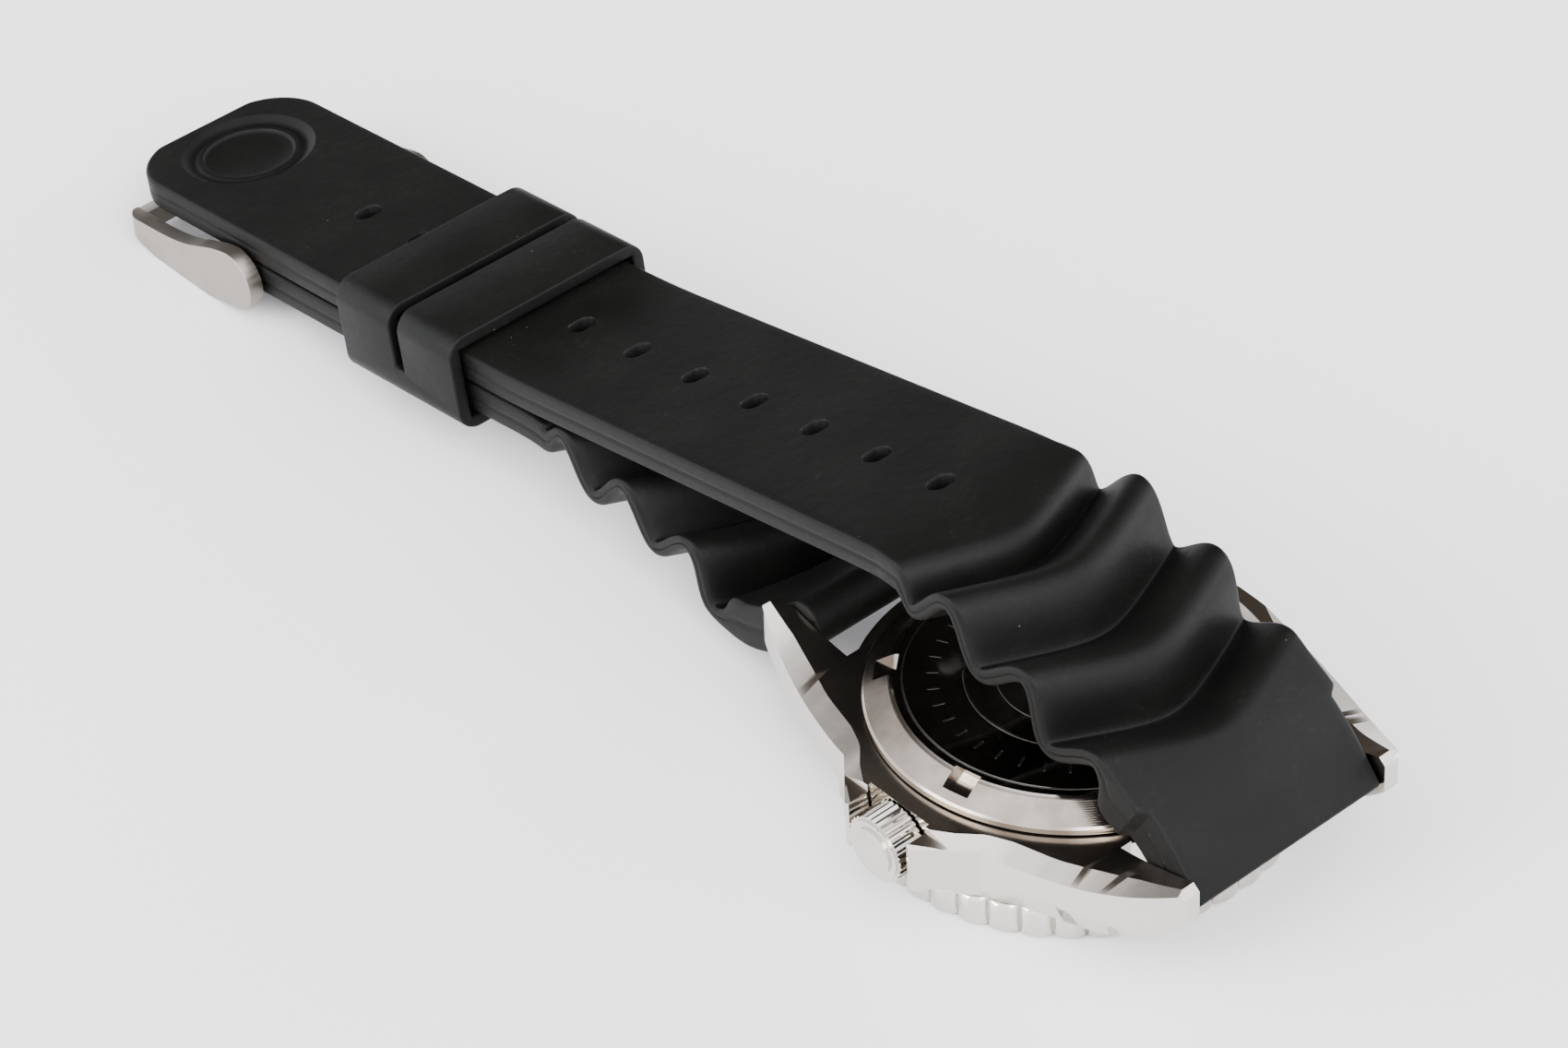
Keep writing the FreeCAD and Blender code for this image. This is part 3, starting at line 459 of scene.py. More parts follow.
@dataclass(frozen=True)
class Lacquer:
    """Painted or anodised metal, or plastic, with a ring of printed ticks if asked."""

    name: str
    colour: Colour
    print_colour: Colour = (0.78, 0.78, 0.74)
    roughness: float = 0.35
    metallic: float = 0.0
    tick_r: float = 0.0
    tick_half: float = 0.5
    ticks: int = 60

    def material(self) -> bpy.types.Material:
        """Build the material."""
        graph = Graph(self.name)
        cloud = graph.noise(2.5, 3.0)
        grain = graph.noise(0.12, 2.0)
        darker = tuple(0.72 * value for value in self.colour)
        colour = graph.mix(cloud.rise(0.35, 0.7), self.colour, darker)
        if self.tick_r:
            x, y = graph.axes()[:2]
            radius = (x * x + y * y) ** 0.5
            angle = graph.math("ARCTAN2", y, x) * (self.ticks / (2 * math.pi))
            beat = graph.math("PINGPONG", angle, 0.5)
            tick = (1 - beat.rise(0.06, 0.08)) * radius.band(self.tick_r, self.tick_half, 0.03)
            colour = graph.mix(tick, colour, self.print_colour)
        rough = self.roughness + cloud * 0.1 + grain * 0.06
        normal = graph.bump([(grain, 0.004), (cloud, 0.004)])
        return graph.finish({
            "Base Color": colour, "Roughness": rough, "Normal": normal, "Metallic": self.metallic})


@dataclass(frozen=True)
class Glass:
    """Flat mineral glass."""

    name: str = "mineral_glass"

    def material(self) -> bpy.types.Material:
        """Build the material."""
        graph = Graph(self.name)
        cloud = graph.noise(5.0, 2.0)
        hair = graph.scratches(0.2, 30.0)
        return graph.finish({
            "Base Color": (0.93, 0.96, 0.97), "Roughness": 0.02 + cloud * 0.02 + hair * 0.1,
            "Normal": graph.bump([(hair, -0.001)]), "Transmission Weight": 1.0, "IOR": 1.5})


@dataclass(frozen=True)
class Tabletop:
    """Pale satin tabletop."""

    name: str = "tabletop_pale"
    colour: Colour = (0.80, 0.785, 0.80)
    roughness: float = 0.30

    def material(self) -> bpy.types.Material:
        """Build the material."""
        graph = Graph(self.name)
        cloud = graph.noise(60.0, 2.0)
        darker = tuple(0.97 * value for value in self.colour)
        return graph.finish({
            "Base Color": graph.mix(cloud, self.colour, darker),
            "Roughness": self.roughness + cloud * 0.08,
            "Normal": graph.bump([(graph.noise(12.0), 0.02)])})


class Wardrobe:
    """Keeps one material for each finish and dresses objects with them."""

    def __init__(self) -> None:
        """Start with no materials."""
        self.made: dict[Any, bpy.types.Material] = {}

    def dress(self, item: bpy.types.Object, finish: Any) -> None:
        """Give an object one finish all over.

        Args:
            item: Mesh object.
            finish: One of the finish dataclasses.
        """
        if finish not in self.made:
            self.made[finish] = finish.material()
        if not item.material_slots:
            item.data.materials.append(self.made[finish])
        for spot in item.material_slots:
            spot.material = self.made[finish]


WARDROBE = Wardrobe()
RUBBER = Rubber()
CASE_STEEL = CaseSteel()
BACK_STEEL = BackSteel()
GLASS = Glass()
# Brushed steel whose colour is darkened and browned to stand in for a brownish reflection: a painted
# reflection.
SATIN = Steel(
    "satin_steel", Brush.ALONG_Y, (0.30, 0.275, 0.24), (0.21, 0.185, 0.155), roughness=0.26,
    streak=0.16, depth=0.002)
POLISHED = Steel(
    "polished_steel", Brush.NONE, (0.56, 0.535, 0.49), (0.40, 0.37, 0.32), roughness=0.07,
    streak=0.04, depth=0.0006)
PLATED = Steel("plated_plate", Brush.ALONG_X, (0.66, 0.66, 0.65), (0.5, 0.5, 0.5), 0.2, 0.15)
BRASS = Steel("gilt_brass", Brush.NONE, (0.72, 0.55, 0.26), (0.5, 0.36, 0.15), 0.18, 0.08)
BLUED = Steel("tempered_steel", Brush.NONE, (0.42, 0.43, 0.47), (0.25, 0.26, 0.3), 0.22, 0.06)
GASKET = Lacquer("gasket_rubber", (0.03, 0.03, 0.03), roughness=0.6)
MOULDED = Lacquer("moulded_plastic", (0.70, 0.69, 0.64), roughness=0.45)
ENAMEL = Lacquer("dial_enamel", (0.012, 0.012, 0.014), roughness=0.4)
CHAPTER = Lacquer("chapter_print", (0.012, 0.012, 0.014), roughness=0.4, tick_r=13.6, tick_half=0.35)
INSERT = Lacquer("insert_anodised", (0.015, 0.015, 0.018), roughness=0.3, tick_r=18.2, tick_half=0.6)
LUME = Lacquer("luminous_paint", (0.72, 0.78, 0.62), roughness=0.5)
HANDS = Lacquer("hand_lacquer", (0.78, 0.78, 0.72), roughness=0.35)
CALENDAR = Lacquer("calendar_print", (0.80, 0.80, 0.77), roughness=0.5)


# ---------------------------------------------------------------- mesh making

class Shell:
    """A closed mesh under construction, in millimetres."""

    def __init__(self) -> None:
        """Start with nothing."""
        self.points: list[Sequence[float]] = []
        self.faces: list[Sequence[int]] = []

    def loft(self, loops: np.ndarray, caps: bool = True, ring: bool = False) -> "Shell":
        """Join closed loops of points.

        Args:
            loops: Array of rows, points in a row, and 3.
            caps: Close the first and last row.
            ring: Join the last row to the first.

        Returns:
            The shell itself.
        """
        rows, count = loops.shape[:2]
        start = len(self.points)
        self.points.extend(loops.reshape(-1, 3).tolist())
        for row in range(rows if ring else rows - 1):
            low = start + row * count
            high = start + (row + 1) % rows * count
            for index in range(count):
                after = (index + 1) % count
                self.faces.append((low + index, low + after, high + after, high + index))
        if caps and not ring:
            self.faces.append(tuple(start + index for index in reversed(range(count))))
            self.faces.append(tuple(start + (rows - 1) * count + index for index in range(count)))
        return self

    def to_object(self, name: str, sharp: float = 40.0) -> bpy.types.Object:
        """Make the scene object, smooth but for its sharp edges.

        Args:
            name: Object name.
            sharp: Angle above which an edge stays sharp, in degrees.

        Returns:
            The new object, in metres.
        """
        mesh = bpy.data.meshes.new(name)
        mesh.from_pydata([[MM * value for value in point] for point in self.points], [], self.faces)
        shape = bmesh.new()
        shape.from_mesh(mesh)
        bmesh.ops.recalc_face_normals(shape, faces=shape.faces)
        shape.to_mesh(mesh)
        shape.free()
        mesh.shade_smooth()
        mesh.set_sharp_from_angle(angle=math.radians(sharp))
        item = bpy.data.objects.new(name, mesh)
        bpy.context.scene.collection.objects.link(item)
        return item


def carve(
        item: bpy.types.Object, cutters: Sequence[bpy.types.Object],
        sharp: float = 40.0) -> None:
    """Cut shapes out of an object and remove them.

    Args:
        item: Object that is cut.
        cutters: Objects that cut it.
        sharp: Angle above which an edge stays sharp, in degrees.
    """
    for cutter in cutters:
        cut = item.modifiers.new("cut", "BOOLEAN")
        cut.object = cutter
        cut.operation = "DIFFERENCE"
        cut.solver = "EXACT"
    settle(item, sharp)
    for cutter in cutters:
        bpy.data.objects.remove(cutter)


def settle(item: bpy.types.Object, sharp: float = 40.0) -> None:
    """Apply an object's modifiers.

    Args:
        item: Mesh object.
        sharp: Angle above which an edge stays sharp, in degrees.
    """
    bpy.context.view_layer.update()
    seen = item.evaluated_get(bpy.context.evaluated_depsgraph_get())
    mesh = bpy.data.meshes.new_from_object(seen)
    item.modifiers.clear()
    item.data = mesh
    mesh.shade_smooth()
    mesh.set_sharp_from_angle(angle=math.radians(sharp))


def softened(
        node: str, name: str, width: float, segments: int = 3,
        choose: Callable[[Vector], bool] | None = None) -> bpy.types.Object:
    """Copy of a CAD node with its sharp edges rounded.

    Args:
        node: CAD node.
        name: Name of the copy.
        width: Size of the rounding, in millimetres.
        segments: Steps across it.
        choose: Test of an edge's middle, in millimetres; every sharp edge if left out.

    Returns:
        The new object.
    """
    shape = bmesh.new()
    shape.from_mesh(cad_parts[node].data)
    bmesh.ops.remove_doubles(shape, verts=shape.verts, dist=1e-7)
    bmesh.ops.dissolve_limit(
        shape, angle_limit=math.radians(0.6), verts=shape.verts, edges=shape.edges)
    edges = []
    for edge in shape.edges:
        middle = (edge.verts[0].co + edge.verts[1].co) * (0.5 / MM)
        if len(edge.link_faces) == 2 and edge.calc_face_angle() > math.radians(28):
            if choose is None or choose(middle):
                edges.append(edge)
    bmesh.ops.bevel(
        shape, geom=edges, offset=width * MM, segments=segments, profile=0.5, affect="EDGES",
        clamp_overlap=True)
    mesh = bpy.data.meshes.new(name)
    shape.to_mesh(mesh)
    shape.free()
    mesh.shade_smooth()
    mesh.set_sharp_from_angle(angle=math.radians(32))
    item = bpy.data.objects.new(name, mesh)
    bpy.context.scene.collection.objects.link(item)
    return item


class Path:
    """Smooth curve in the YZ plane through given points, measured along its length."""

    def __init__(self, points: Sequence[Point2]) -> None:
        """Fit a natural cubic through (y, z) points."""
        knots = np.array(points, float)
        chord = np.concatenate([[0], np.cumsum(np.hypot(*np.diff(knots, axis=0).T))])
        size = len(knots)
        gap = np.diff(chord)
        system = np.eye(size)
        right = np.zeros((size, 2))
        for row in range(1, size - 1):
            system[row, row - 1:row + 2] = gap[row - 1], 2 * (gap[row - 1] + gap[row]), gap[row]
            onward = (knots[row + 1] - knots[row]) / gap[row]
            backward = (knots[row] - knots[row - 1]) / gap[row - 1]
            right[row] = 6 * (onward - backward)
        bend = np.linalg.solve(system, right)
        at = np.linspace(0, chord[-1], 6000)
        piece = np.clip(np.searchsorted(chord, at, side="right") - 1, 0, size - 2)
        before = (chord[piece + 1] - at)[:, None]
        after = (at - chord[piece])[:, None]
        wide = gap[piece][:, None]
        self.points = (
            bend[piece] * before ** 3 / (6 * wide) + bend[piece + 1] * after ** 3 / (6 * wide)
            + (knots[piece] / wide - bend[piece] * wide / 6) * before
            + (knots[piece + 1] / wide - bend[piece + 1] * wide / 6) * after)
        self.length = np.concatenate([[0], np.cumsum(np.hypot(*np.diff(self.points, axis=0).T))])

    @property
    def total(self) -> float:
        """Whole length."""
        return float(self.length[-1])

    def at(self, s: float) -> tuple[np.ndarray, np.ndarray]:
        """Point and unit tangent at a length, straight beyond both ends."""
        inside = min(max(s, 0.0), self.total)
        point = np.array([np.interp(inside, self.length, self.points[:, i]) for i in range(2)])
        ahead = np.array([
            np.interp(min(inside + 0.05, self.total), self.length, self.points[:, i]) for i in range(2)])
        behind = np.array([
            np.interp(max(inside - 0.05, 0.0), self.length, self.points[:, i]) for i in range(2)])
        tangent = (ahead - behind) / np.hypot(*(ahead - behind))
        return point + tangent * (s - inside), tangent

    def length_at(self, y: float) -> float:
        """Length at which the curve passes a y."""
        return float(np.interp(y, self.points[:, 0], self.length))


def eased(value: np.ndarray | float, low: float, high: float) -> np.ndarray:
    """Smooth step from 0 at low to 1 at high."""
    share = np.clip((value - low) / (high - low), 0, 1)
    return share * share * (3 - 2 * share)


# ---------------------------------------------------------------- strap

@dataclass
class Strand:
    """One strand of the strap: end block, chevron humps and a flat part."""

    points: list[Point2]
    widths: list[Point2]
    hump: float
    pitch: float
    amplitude: float
    flat_from: float
    side: int
    start: float
    beyond: float
    start_round: float
    stop_round: float
    slab: float = 4.5
    rib: float = 1.6
    wedge: float = 3.6
    flat: float = 3.1
    chevron: float = 3.65
    apex: float = 3.2
    edge: float = 0.42
    seam: float = 0.10
    corner: float = 0.0

    def __post_init__(self) -> None:
        """Fit the centre curve and end the strand a little beyond or short of its end."""
        self.path = Path(self.points)
        self.stop = self.path.total + self.beyond

    def half_width(self, s: float) -> float:
        """Half of the width at a length, with the tip's rounded corners.

        Args:
            s: Length along the strand.

        Returns:
            Half width.
        """
        y = self.path.at(s)[0][0]
        table = np.array(self.widths)
        half = float(np.interp(y, table[:, 0], table[:, 1]))
        left = self.stop - s
        if self.corner and left < self.corner:
            half -= self.corner - math.sqrt(self.corner ** 2 - (self.corner - left) ** 2)
        return half

    def faces(
            self, s: float, across: np.ndarray,
            half: float) -> tuple[np.ndarray, np.ndarray, np.ndarray]:
        """Where the outer and inner face of a section lie from the centre curve.

        Args:
            s: Length along the strand.
            across: Distances from the strand's middle.
            half: Half width there.

        Returns:
            Outer and inner points as rows of (along, square), and half thicknesses.
        """
        spread = np.sqrt(across ** 2 + self.apex ** 2) - self.apex
        widest = math.sqrt(half ** 2 + self.apex ** 2) - self.apex
        pattern = s + self.chevron * (1 - np.minimum(spread / widest, 1.0))
        humps = eased(pattern, self.hump - 0.5 * self.pitch, self.hump - 0.2 * self.pitch)
        humps = self.side * self.amplitude * humps
        humps = humps * (1 - eased(pattern, self.flat_from - 2.6, self.flat_from))
        phase = 2 * math.pi * (pattern - self.hump) / self.pitch
        slope = -humps * 2 * math.pi / self.pitch * np.sin(phase)
        thick = self.slab + (self.rib - self.slab) * eased(pattern, self.hump - 4.5, self.hump - 1.5)
        thick = thick + (self.flat - self.rib) * eased(pattern, self.flat_from - 2.2, self.flat_from)
        lean = np.column_stack([-slope, np.ones(len(slope))]) / np.hypot(1, slope)[:, None]
        middle = np.column_stack([np.zeros(len(slope)), humps * np.cos(phase)])
        shift = lean * (0.5 * self.side * thick)[:, None]
        rise = np.clip((pattern - self.wedge) / (self.hump - self.wedge), 0, 1)
        cover = self.slab / 2 + rise * (self.amplitude + self.rib / 2 - self.slab / 2)
        wedge = np.column_stack([np.zeros(len(slope)), self.side * cover])
        outer = np.where((pattern < self.hump)[:, None], wedge, middle + shift)
        return outer, middle - shift, 0.5 * thick

    def section(self, s: float) -> np.ndarray:
        """Closed loop of points at a length.

        Args:
            s: Length along the strand.

        Returns:
            Array of points.
        """
        half = self.half_width(s)
        lost = 0.0
        for left, soft in ((s - self.start, self.start_round), (self.stop - s, self.stop_round)):
            if left < soft:
                lost = max(lost, soft - math.sqrt(max(soft ** 2 - (soft - left) ** 2, 0.0)))
        edge = self.edge
        tops = np.linspace(0, half - edge, 15)[:-1]
        turns = np.radians(np.linspace(0, 90, 5))
        sides = [(half, 0.30), (half, 0.16), (half - self.seam, 0.05), (half - self.seam, -0.05),
                 (half, -0.16), (half, -0.30)]
        across = np.concatenate([
            tops, half - edge + edge * np.sin(turns), [x for x, t in sides],
            half - edge + edge * np.sin(turns[::-1]), tops[::-1]])
        level = np.concatenate([
            np.ones(len(tops)), np.ones(5), [t for x, t in sides], -np.ones(5), -np.ones(len(tops))])
        drop = np.concatenate([
            np.zeros(len(tops)), edge * (1 - np.cos(turns)), np.zeros(6),
            -edge * (1 - np.cos(turns[::-1])), np.zeros(len(tops))])
        outer, inner, full = self.faces(s, across, half)
        reach = np.maximum(full - lost, 0.02)
        keep = np.clip(reach / (2 * edge), 0, 1)
        share = 0.5 + 0.5 * self.side * (level * reach - drop * keep) / full
        local = inner + (outer - inner) * share[:, None]
        point, tangent = self.path.at(s)
        normal = np.array([-tangent[1], tangent[0]])
        right = np.column_stack([
            across, point[0] + normal[0] * local[:, 1] + tangent[0] * local[:, 0],
            point[1] + normal[1] * local[:, 1] + tangent[1] * local[:, 0]])
        left = right[::-1][1:-1] * np.array([-1, 1, 1])
        return np.concatenate([right, left])

    def mesh(self, name: str) -> bpy.types.Object:
        """Make the strand's mesh.

        Args:
            name: Object name.

        Returns:
            The new object.
        """
        fine, coarse, tip = 0.24, 2.0, 7
        stations = list(np.arange(self.start, self.flat_from + 4, fine))
        stations += list(np.arange(self.flat_from + 5, self.stop - tip, coarse))
        stations += list(np.linspace(self.stop - tip, self.stop, 36))
        for soft, end, way in ((self.start_round, self.start, 1), (self.stop_round, self.stop, -1)):
            stations += [end + way * soft * share for share in (0.0, 0.04, 0.13, 0.28, 0.5, 0.75)]
        rows = sorted(set(round(float(s), 4) for s in stations if self.start <= s <= self.stop))
        return Shell().loft(np.array([self.section(s) for s in rows])).to_object(name)

    def upright(self, y: float) -> Matrix:
        """Place of a cutter square to the strand's outer face at a y, in metres.

        Args:
            y: Where along the strand.

        Returns:
            Matrix with Z along the strand's normal and its origin on the centre curve.
        """
        point, tangent = self.path.at(self.path.length_at(y))
        angle = math.atan2(tangent[1], tangent[0])
        return Matrix.Translation((0, point[0] * MM, point[1] * MM)) @ Matrix.Rotation(angle, 4, "X")


def turned_cutter(
        name: str, profile: Sequence[Point2], wide: float,
        place: Matrix) -> bpy.types.Object:
    """Round or oval cutter from (radius, height) rows.

    Args:
        name: Object name.
        profile: Radius and height of each row, in millimetres.
        wide: Half of the straight part across an oval.
        place: Where it stands.

    Returns:
        The cutter.
    """
    angles = np.radians(np.linspace(0, 360, 49)[:-1])
    loops = []
    for radius, height in profile:
        x = radius * np.cos(angles) + wide * np.sign(np.cos(angles)).round()
        loops.append(np.column_stack([x, radius * np.sin(angles), np.full(len(angles), height)]))
    item = Shell().loft(np.array(loops)).to_object(name)
    item.data.transform(place)
    return item


@dataclass
class TailStrap:
    """Tail half: block on the far lugs, three humps, holes and the tip's round dimple."""

    flat_half: float = 1.55
    holes: int = 11
    first_hole: float = 16.0
    hole_pitch: float = 8.26
    hole_r: float = 0.9
    hole_wide: float = 0.45
    dimple_y: float = 118.5
    dimple_r: float = 6.6
    strand: Strand = field(default_factory=lambda: Strand(
        points=[
            (-22.8, 10.0), (-20.9, 12.2), (-14.3, 16.1), (-6.0, 19.9), (3.8, 22.54), (10.5, 23.05),
            (14.0, 22.62), (20.0, 21.46), (30.0, 19.46), (45.0, 16.46), (58.0, 13.9), (64.0, 12.78),
            (70.0, 11.94), (85.0, 10.125), (105.0, 7.705), (126.5, 5.1035)],
        widths=[
            (-30, 10.75), (-18.9, 10.75), (-18.4, 11.6), (4, 11.6), (12.9, 10.65), (70, 10.1),
            (120.5, 10.0), (127, 10.0)],
        hump=11.2, pitch=9.2, amplitude=2.25, flat_from=36.8, side=1, start=-2.55, beyond=-0.15,
        start_round=0.4, stop_round=0.42, corner=6.0))

    def build(self) -> bpy.types.Object:
        """Mesh the tail and cut its holes and dimple."""
        strand = self.strand
        item = strand.mesh("tail_strap")
        top = self.flat_half
        rim = self.hole_r + 0.14
        hole = [(self.hole_r, -8), (self.hole_r, top - 0.18), (rim, top + 0.03), (rim, 4)]
        cutters = []
        for index in range(self.holes):
            place = strand.upright(self.first_hole + self.hole_pitch * index)
            cutters.append(turned_cutter(f"cut_{index}", hole, self.hole_wide, place))
        r = self.dimple_r
        dimple = [
            (0.3, top - 1.0), (r - 3.4, top - 0.95), (r - 2.3, top - 0.8), (r - 2.05, top - 0.72),
            (r - 1.9, top - 0.5), (r - 1.55, top - 0.46), (r - 1.35, top - 0.52),
            (r - 1.15, top - 0.66), (r - 0.8, top - 0.66), (r - 0.45, top - 0.5), (r - 0.1, top - 0.2),
            (r + 0.2, top - 0.02), (r + 0.25, 4)]
        cutters.append(turned_cutter("cut_dimple", dimple, 0.0, strand.upright(self.dimple_y)))
        carve(item, cutters)
        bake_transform(item)
        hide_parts("strap_tail_wave", "strap_tail_flat")
        return item


@dataclass
class BuckleStrap:
    """Buckle half: loop on the near lugs, humps, flat part and the loop round the buckle bar."""

    bar_y: float = 106.3
    slot_half: float = 1.7
    strand: Strand = field(default_factory=lambda: Strand(
        points=[
            (22.8, 10.0), (27.5, 6.6), (32.0, 5.0), (38.0, 6.9), (47.0, 8.5), (55.0, 9.1),
            (62.0, 9.46), (66.0, 8.974), (75.0, 7.885), (90.0, 6.07), (106.3, 4.0977)],
        widths=[(15, 10.75), (34, 10.75), (61, 10.0), (115, 10.0)],
        hump=13.9, pitch=9.0, amplitude=2.05, flat_from=39.5, side=-1, start=-2.25, beyond=1.55,
        start_round=2.25, stop_round=1.55))

    def build(self) -> bpy.types.Object:
        """Mesh the strand and cut the tongue's slot."""
        strand = self.strand
        item = strand.mesh("buckle_strap")
        half = self.slot_half
        near, far = self.bar_y - 4, 120
        square = np.array([[-half, near], [half, near], [half, far], [-half, far]])
        loops = np.array([np.column_stack([square, np.full(4, z)]) for z in (-5.0, 12.0)])
        carve(item, [Shell().loft(loops).to_object("cut_slot")])
        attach(item, "strap_lower")
        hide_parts("strap_buckle_half")
        return item


@dataclass
class Keeper:
    """Double keeper loop moulded in one piece."""

    rounding: float = 0.62

    def build(self) -> bpy.types.Object:
        """Round the keeper's edges."""
        item = softened("keeper", "keeper_loop", self.rounding)
        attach(item, "strap_keeper")
        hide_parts("keeper")
        return item


# ---------------------------------------------------------------- metal

@dataclass
class Buckle:
    """Pin buckle with tapering cheeks."""

    rounding: float = 0.42

    def build(self) -> bpy.types.Object:
        """Round the frame's edges."""
        item = softened("buckle_frame", "buckle_loop", self.rounding, 4)
        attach(item, "buckle")
        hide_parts("buckle_frame")
        return item


@dataclass
class Case:
    """Middle case with softly broken edges and a long polished bevel on each shoulder."""

    rounding: float = 0.14
    fall: float = 0.42
    lean: float = 2.1
    top: float = 9.9
    lug_from: float = 13.5
    far: float = 30.0
    lug_arc: tuple[float, float, float] = (12.08, 53.35, 43.473)
    crown_side: tuple[Point2, ...] = (
        (3.5, 21.0), (5.9, 19.4), (7.9, 17.6), (10.1, 16.6), (14.6, 15.4), (17.8, 14.2),
        (21.5, 13.0), (27, 11.9))
    plain_side: tuple[Point2, ...] = (
        (2.0, 20.6), (5.0, 19.0), (7.9, 17.7), (10.1, 16.8), (14.6, 15.4), (17.8, 14.2),
        (21.5, 13.0), (27, 11.9))
    low_edge: tuple[tuple[float, float, float], ...] = (
        (4.8, 21.5, 3.7), (6.4, 19.9, 3.7), (7.9, 18.7, 3.7), (10.9, 17.3, 3.7), (14.8, 15.8, 3.7),
        (18.4, 15.0, 4.3), (22, 14.0, 5.6), (25, 13.3, 7.6), (28, 12.6, 10.5))

    def shoulder(self, way_x: int, way_y: int) -> bpy.types.Object:
        """Cutter that leaves the bevel of one shoulder.

        Args:
            way_x: Side of the case, 1 or -1.
            way_y: End of the case, 1 or -1.

        Returns:
            The cutter.
        """
        line = np.array(self.crown_side if way_x < 0 else self.plain_side)
        middle, height, radius = self.lug_arc
        loops = []
        for y in np.linspace(line[0, 0], line[-1, 0], 40):
            x = np.interp(y, line[:, 0], line[:, 1])
            z = self.top
            if y >= self.lug_from:
                z = height - math.sqrt(radius ** 2 - (y - middle) ** 2)
            low = z - self.fall * (self.far - x)
            loops.append([
                [way_x * (x - 2), way_y * y, z + 2 * self.fall], [way_x * self.far, way_y * y, low],
                [way_x * self.far, way_y * y, self.far], [way_x * (x - 2), way_y * y, self.far]])
        return Shell().loft(np.array(loops)).to_object("cut_shoulder")

    def undercut(self, way_x: int, way_y: int) -> bpy.types.Object:
        """Cutter that leans one flank inwards above the bezel.

        Args:
            way_x: Side of the case, 1 or -1.
            way_y: End of the case, 1 or -1.

        Returns:
            The cutter.
        """
        line = np.array(self.low_edge)
        loops = []
        for y in np.linspace(line[0, 0], line[-1, 0], 40):
            x = np.interp(y, line[:, 0], line[:, 1])
            z = np.interp(y, line[:, 0], line[:, 2])
            low = z - 2 * self.lean
            loops.append([
                [way_x * (x - 2), way_y * y, low], [way_x * self.far, way_y * y, low],
                [way_x * self.far, way_y * y, z + self.lean * (self.far - x)]])
        return Shell().loft(np.array(loops)).to_object("cut_flank")

    def build(self) -> bpy.types.Object:
        """Break the outer edges of the case and cut its bevels."""
        item = softened(
            "case_body", "middle_case", self.rounding, 2,
            lambda p: p.z > 4 and max(
                abs(p.y) - 20.5, abs(p.x) - 17.5, math.hypot(p.x, p.y) - 19.0) > 0)
        cutters = [
            cut(x, y) for cut in (self.shoulder, self.undercut) for x in (1, -1) for y in (1, -1)]
        carve(item, cutters, 24.0)
        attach(item, "case")
        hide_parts("case_body")
        return item


@dataclass
class Bezel:
    """Turning bezel with round lobes on its edge."""

    radius: float = 20.55
    lobes: int = 44
    cusp: float = 0.85
    lobe_edge: float = 0.98
    low_z: float = 0.3
    low_share: float = 0.55
    steps: int = 14
    outside: tuple[Point2, ...] = (
        (-0.75, 0.0), (-0.42, 0.12), (-0.12, 0.40), (0.0, 0.75), (0.0, 2.7), (-0.05, 2.95),
        (-0.2, 3.2), (-0.45, 3.38), (-0.8, 3.45))
    inside: tuple[Point2, ...] = (
        (19.3, 3.45), (19.3, 2.75), (17.0, 2.75), (17.0, 3.45), (16.1, 3.45), (16.03, 3.38),
        (16.03, 1.15), (19.1, 1.15), (19.1, 0.08), (19.2, 0.0))

    def build(self) -> bpy.types.Object:
        """Sweep the section round the axis with the lobes on its outer points."""
        count = self.lobes * self.steps
        angles = np.radians(np.arange(count) * 360 / count)
        across = 2 * (np.arange(count) % self.steps) / self.steps - 1
        lobe = -self.cusp * (1 - np.sqrt(1 - (self.lobe_edge * across) ** 2))
        rows = []
        for depth, z in self.outside:
            share = 1.0 if z > self.low_z else self.low_share
            rows.append((self.radius + depth + share * lobe, np.full(count, z)))
        for r, z in self.inside:
            rows.append((np.full(count, r), np.full(count, z)))
        loops = np.array([
            np.column_stack([radius * np.cos(angles), radius * np.sin(angles), z])
            for radius, z in rows])
        item = Shell().loft(loops, ring=True).to_object("lobed_bezel", 50.0)
        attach(item, "bezel")
        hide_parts("bezel_ring")
        return item


NODE_FINISHES = {
    BACK_STEEL: ["case_back"],
    POLISHED: ["bezel_ring", "crown"],
    SATIN: ["crown_tube", "lug_spring_bars", "buckle_spring_bar", "buckle_tongue", "buckle_frame"],
    CASE_STEEL: ["case_body"],
    GLASS: ["crystal"],
    RUBBER: ["strap_tail_wave", "strap_tail_flat", "strap_buckle_half", "keeper"],
    GASKET: ["case_back_gasket", "crown_gasket"],
    MOULDED: ["crystal_gasket", "movement_ring"],
    INSERT: ["bezel_insert"],
    LUME: ["bezel_pip"],
    ENAMEL: ["dial"],
    CHAPTER: ["chapter_ring"],
    HANDS: ["hour_hand", "minute_hand", "seconds_hand"],
    CALENDAR: ["date_disc", "day_disc"],
    PLATED: ["mainplate", "train_bridge", "balance_cock", "rotor", "rotor_bearing"],
    BRASS: [
        "hour_wheel", "centre_wheel", "third_wheel", "fourth_wheel", "balance_wheel",
        "barrel_drum", "barrel_cover"],
    BLUED: [
        "bezel_click_spring", "movement_screws", "escape_wheel", "pallet_fork", "hairspring",
        "barrel_arbor", "mainspring", "winding_stem", "clutch_pinion"],
}


# ---------------------------------------------------------------- studio

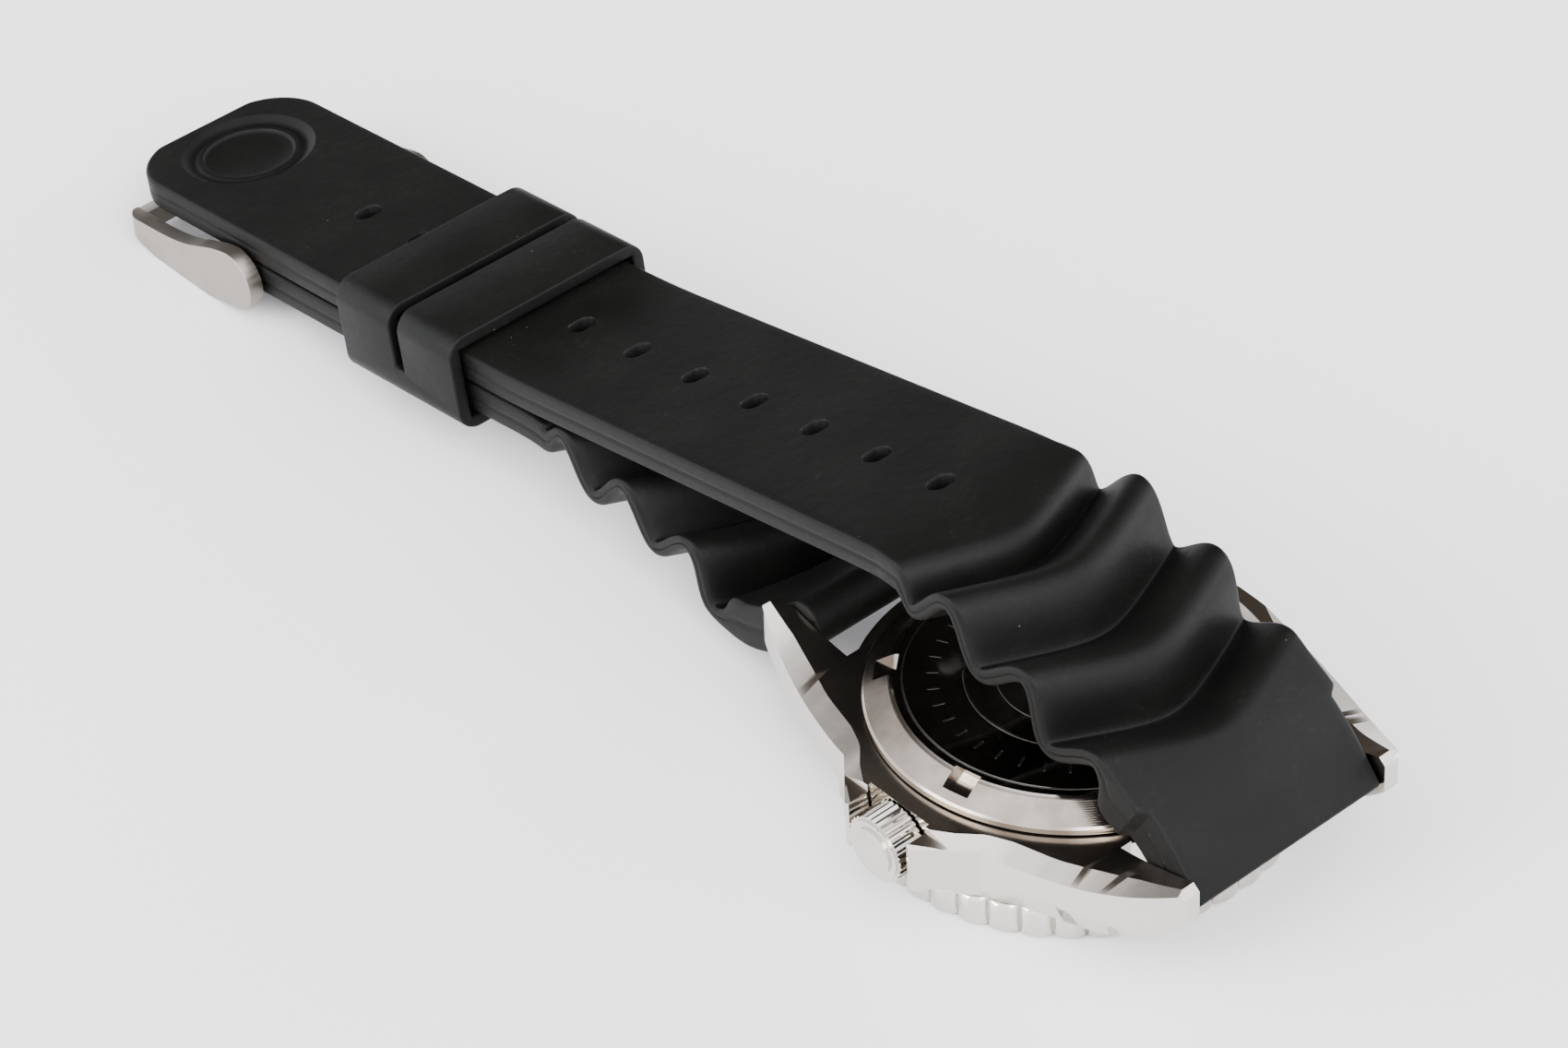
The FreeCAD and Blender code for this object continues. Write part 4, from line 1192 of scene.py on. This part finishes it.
@dataclass
class Studio:
    """Pale table, soft lights and the camera."""

    dark: tuple[float, float, float] = (0.491, 0.602, 0.630)
    dark_from: float = 0.62
    dark_full: float = 0.90
    bright: Colour = (0.95, 0.96, 1.0)
    dim: Colour = (0.03, 0.026, 0.022)
    strength: float = 3.9
    azimuth: float = 230.842
    elevation: float = 39.241
    roll: float = -3.433
    distance: float = 486.455
    target: tuple[float, float, float] = (4.978, 44.034, 0.0)
    focal: float = 120.84
    table: float = 6000.0

    def camera(self) -> None:
        """Place the camera."""
        azimuth, elevation, roll = (
            math.radians(angle) for angle in (self.azimuth, self.elevation, self.roll))
        away = Vector((
            math.cos(elevation) * math.cos(azimuth), math.cos(elevation) * math.sin(azimuth),
            math.sin(elevation)))
        right = (-away).cross(Vector((0, 0, 1))).normalized()
        up = right.cross(-away)
        turned_right = math.cos(roll) * right + math.sin(roll) * up
        turned_up = -math.sin(roll) * right + math.cos(roll) * up
        data = bpy.data.cameras.new("camera")
        data.lens = self.focal
        data.sensor_width = 36.0
        data.clip_start = 0.01
        item = bpy.data.objects.new("camera", data)
        bpy.context.scene.collection.objects.link(item)
        item.matrix_world = Matrix((turned_right, turned_up, away)).transposed().to_4x4()
        item.location = (Vector(self.target) + away * self.distance) * MM
        bpy.context.scene.camera = item

    def light(self, name: str, place: Point2, height: float, size: float, power: float,
              colour: Colour = (1, 1, 1)) -> None:
        """Hang a square soft light aimed at the watch.

        Args:
            name: Its name.
            place: Where it hangs, x and y in metres.
            height: Its height in metres.
            size: Its side in metres.
            power: Its power in watts.
            colour: Its tint.
        """
        data = bpy.data.lights.new(name, "AREA")
        data.shape = "SQUARE"
        data.size = size
        data.energy = power
        data.color = colour
        item = bpy.data.objects.new(name, data)
        bpy.context.scene.collection.objects.link(item)
        item.location = (place[0], place[1], height)
        aim = Vector((0, 0.045, 0.01)) - item.location
        item.rotation_euler = aim.to_track_quat("-Z", "Y").to_euler()

    def surroundings(self) -> None:
        """Bright overcast room with one dark area high behind the watch."""
        world = bpy.data.worlds.new("surroundings")
        bpy.context.scene.world = world
        world.use_nodes = True
        tree = world.node_tree
        place = tree.nodes.new("ShaderNodeTexCoord")
        turn = tree.nodes.new("ShaderNodeVectorMath")
        turn.operation = "DOT_PRODUCT"
        turn.inputs[1].default_value = self.dark
        spread = tree.nodes.new("ShaderNodeMapRange")
        spread.interpolation_type = "SMOOTHSTEP"
        spread.inputs["From Min"].default_value = self.dark_from
        spread.inputs["From Max"].default_value = self.dark_full
        mix = tree.nodes.new("ShaderNodeMix")
        mix.data_type = "RGBA"
        mix.inputs[6].default_value = (*self.bright, 1.0)
        mix.inputs[7].default_value = (*self.dim, 1.0)
        tree.links.new(place.outputs["Generated"], turn.inputs[0])
        tree.links.new(turn.outputs["Value"], spread.inputs["Value"])
        tree.links.new(spread.outputs["Result"], mix.inputs[0])
        background = tree.nodes["Background"]
        tree.links.new(mix.outputs[2], background.inputs["Color"])
        background.inputs["Strength"].default_value = self.strength

    def build(self) -> None:
        """Make the table, lights, surroundings and camera."""
        half = self.table / 2
        square = np.array([[-half, -half], [half, -half], [half, half], [-half, half]])
        loops = np.array([np.column_stack([square, np.full(4, z)]) for z in (-20.0, 0.0)])
        top = Shell().loft(loops).to_object("tabletop")
        WARDROBE.dress(top, Tabletop())
        self.light("key", (-0.30, -0.80), 0.75, 0.6, 13.0, (1.0, 0.99, 0.98))
        self.light("fill", (-0.85, 0.30), 0.50, 0.5, 11.0, (0.98, 0.99, 1.0))
        self.light("rim", (0.9, -0.35), 0.30, 0.3, 4.5)
        self.surroundings()
        self.camera()


# ---------------------------------------------------------------- making

def dress_nodes() -> None:
    """Give every CAD node its finish."""
    for finish, nodes in NODE_FINISHES.items():
        for node in nodes:
            WARDROBE.dress(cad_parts[node], finish)
            LOG.info("%s dressed in %s", node, finish.name)


def main() -> None:
    """Build the classes in order and report each piece."""
    logging.basicConfig(level=logging.INFO, format="%(name)s: %(message)s")
    Studio().build()
    dress_nodes()
    for maker, finish in (
            (TailStrap(), RUBBER), (BuckleStrap(), RUBBER), (Keeper(), RUBBER), (Buckle(), SATIN),
            (Case(), CASE_STEEL), (Bezel(), POLISHED)):
        item = maker.build()
        WARDROBE.dress(item, finish)
        LOG.info("%s built with %d faces", item.name, len(item.data.polygons))


if __name__ == "__main__":
    main()
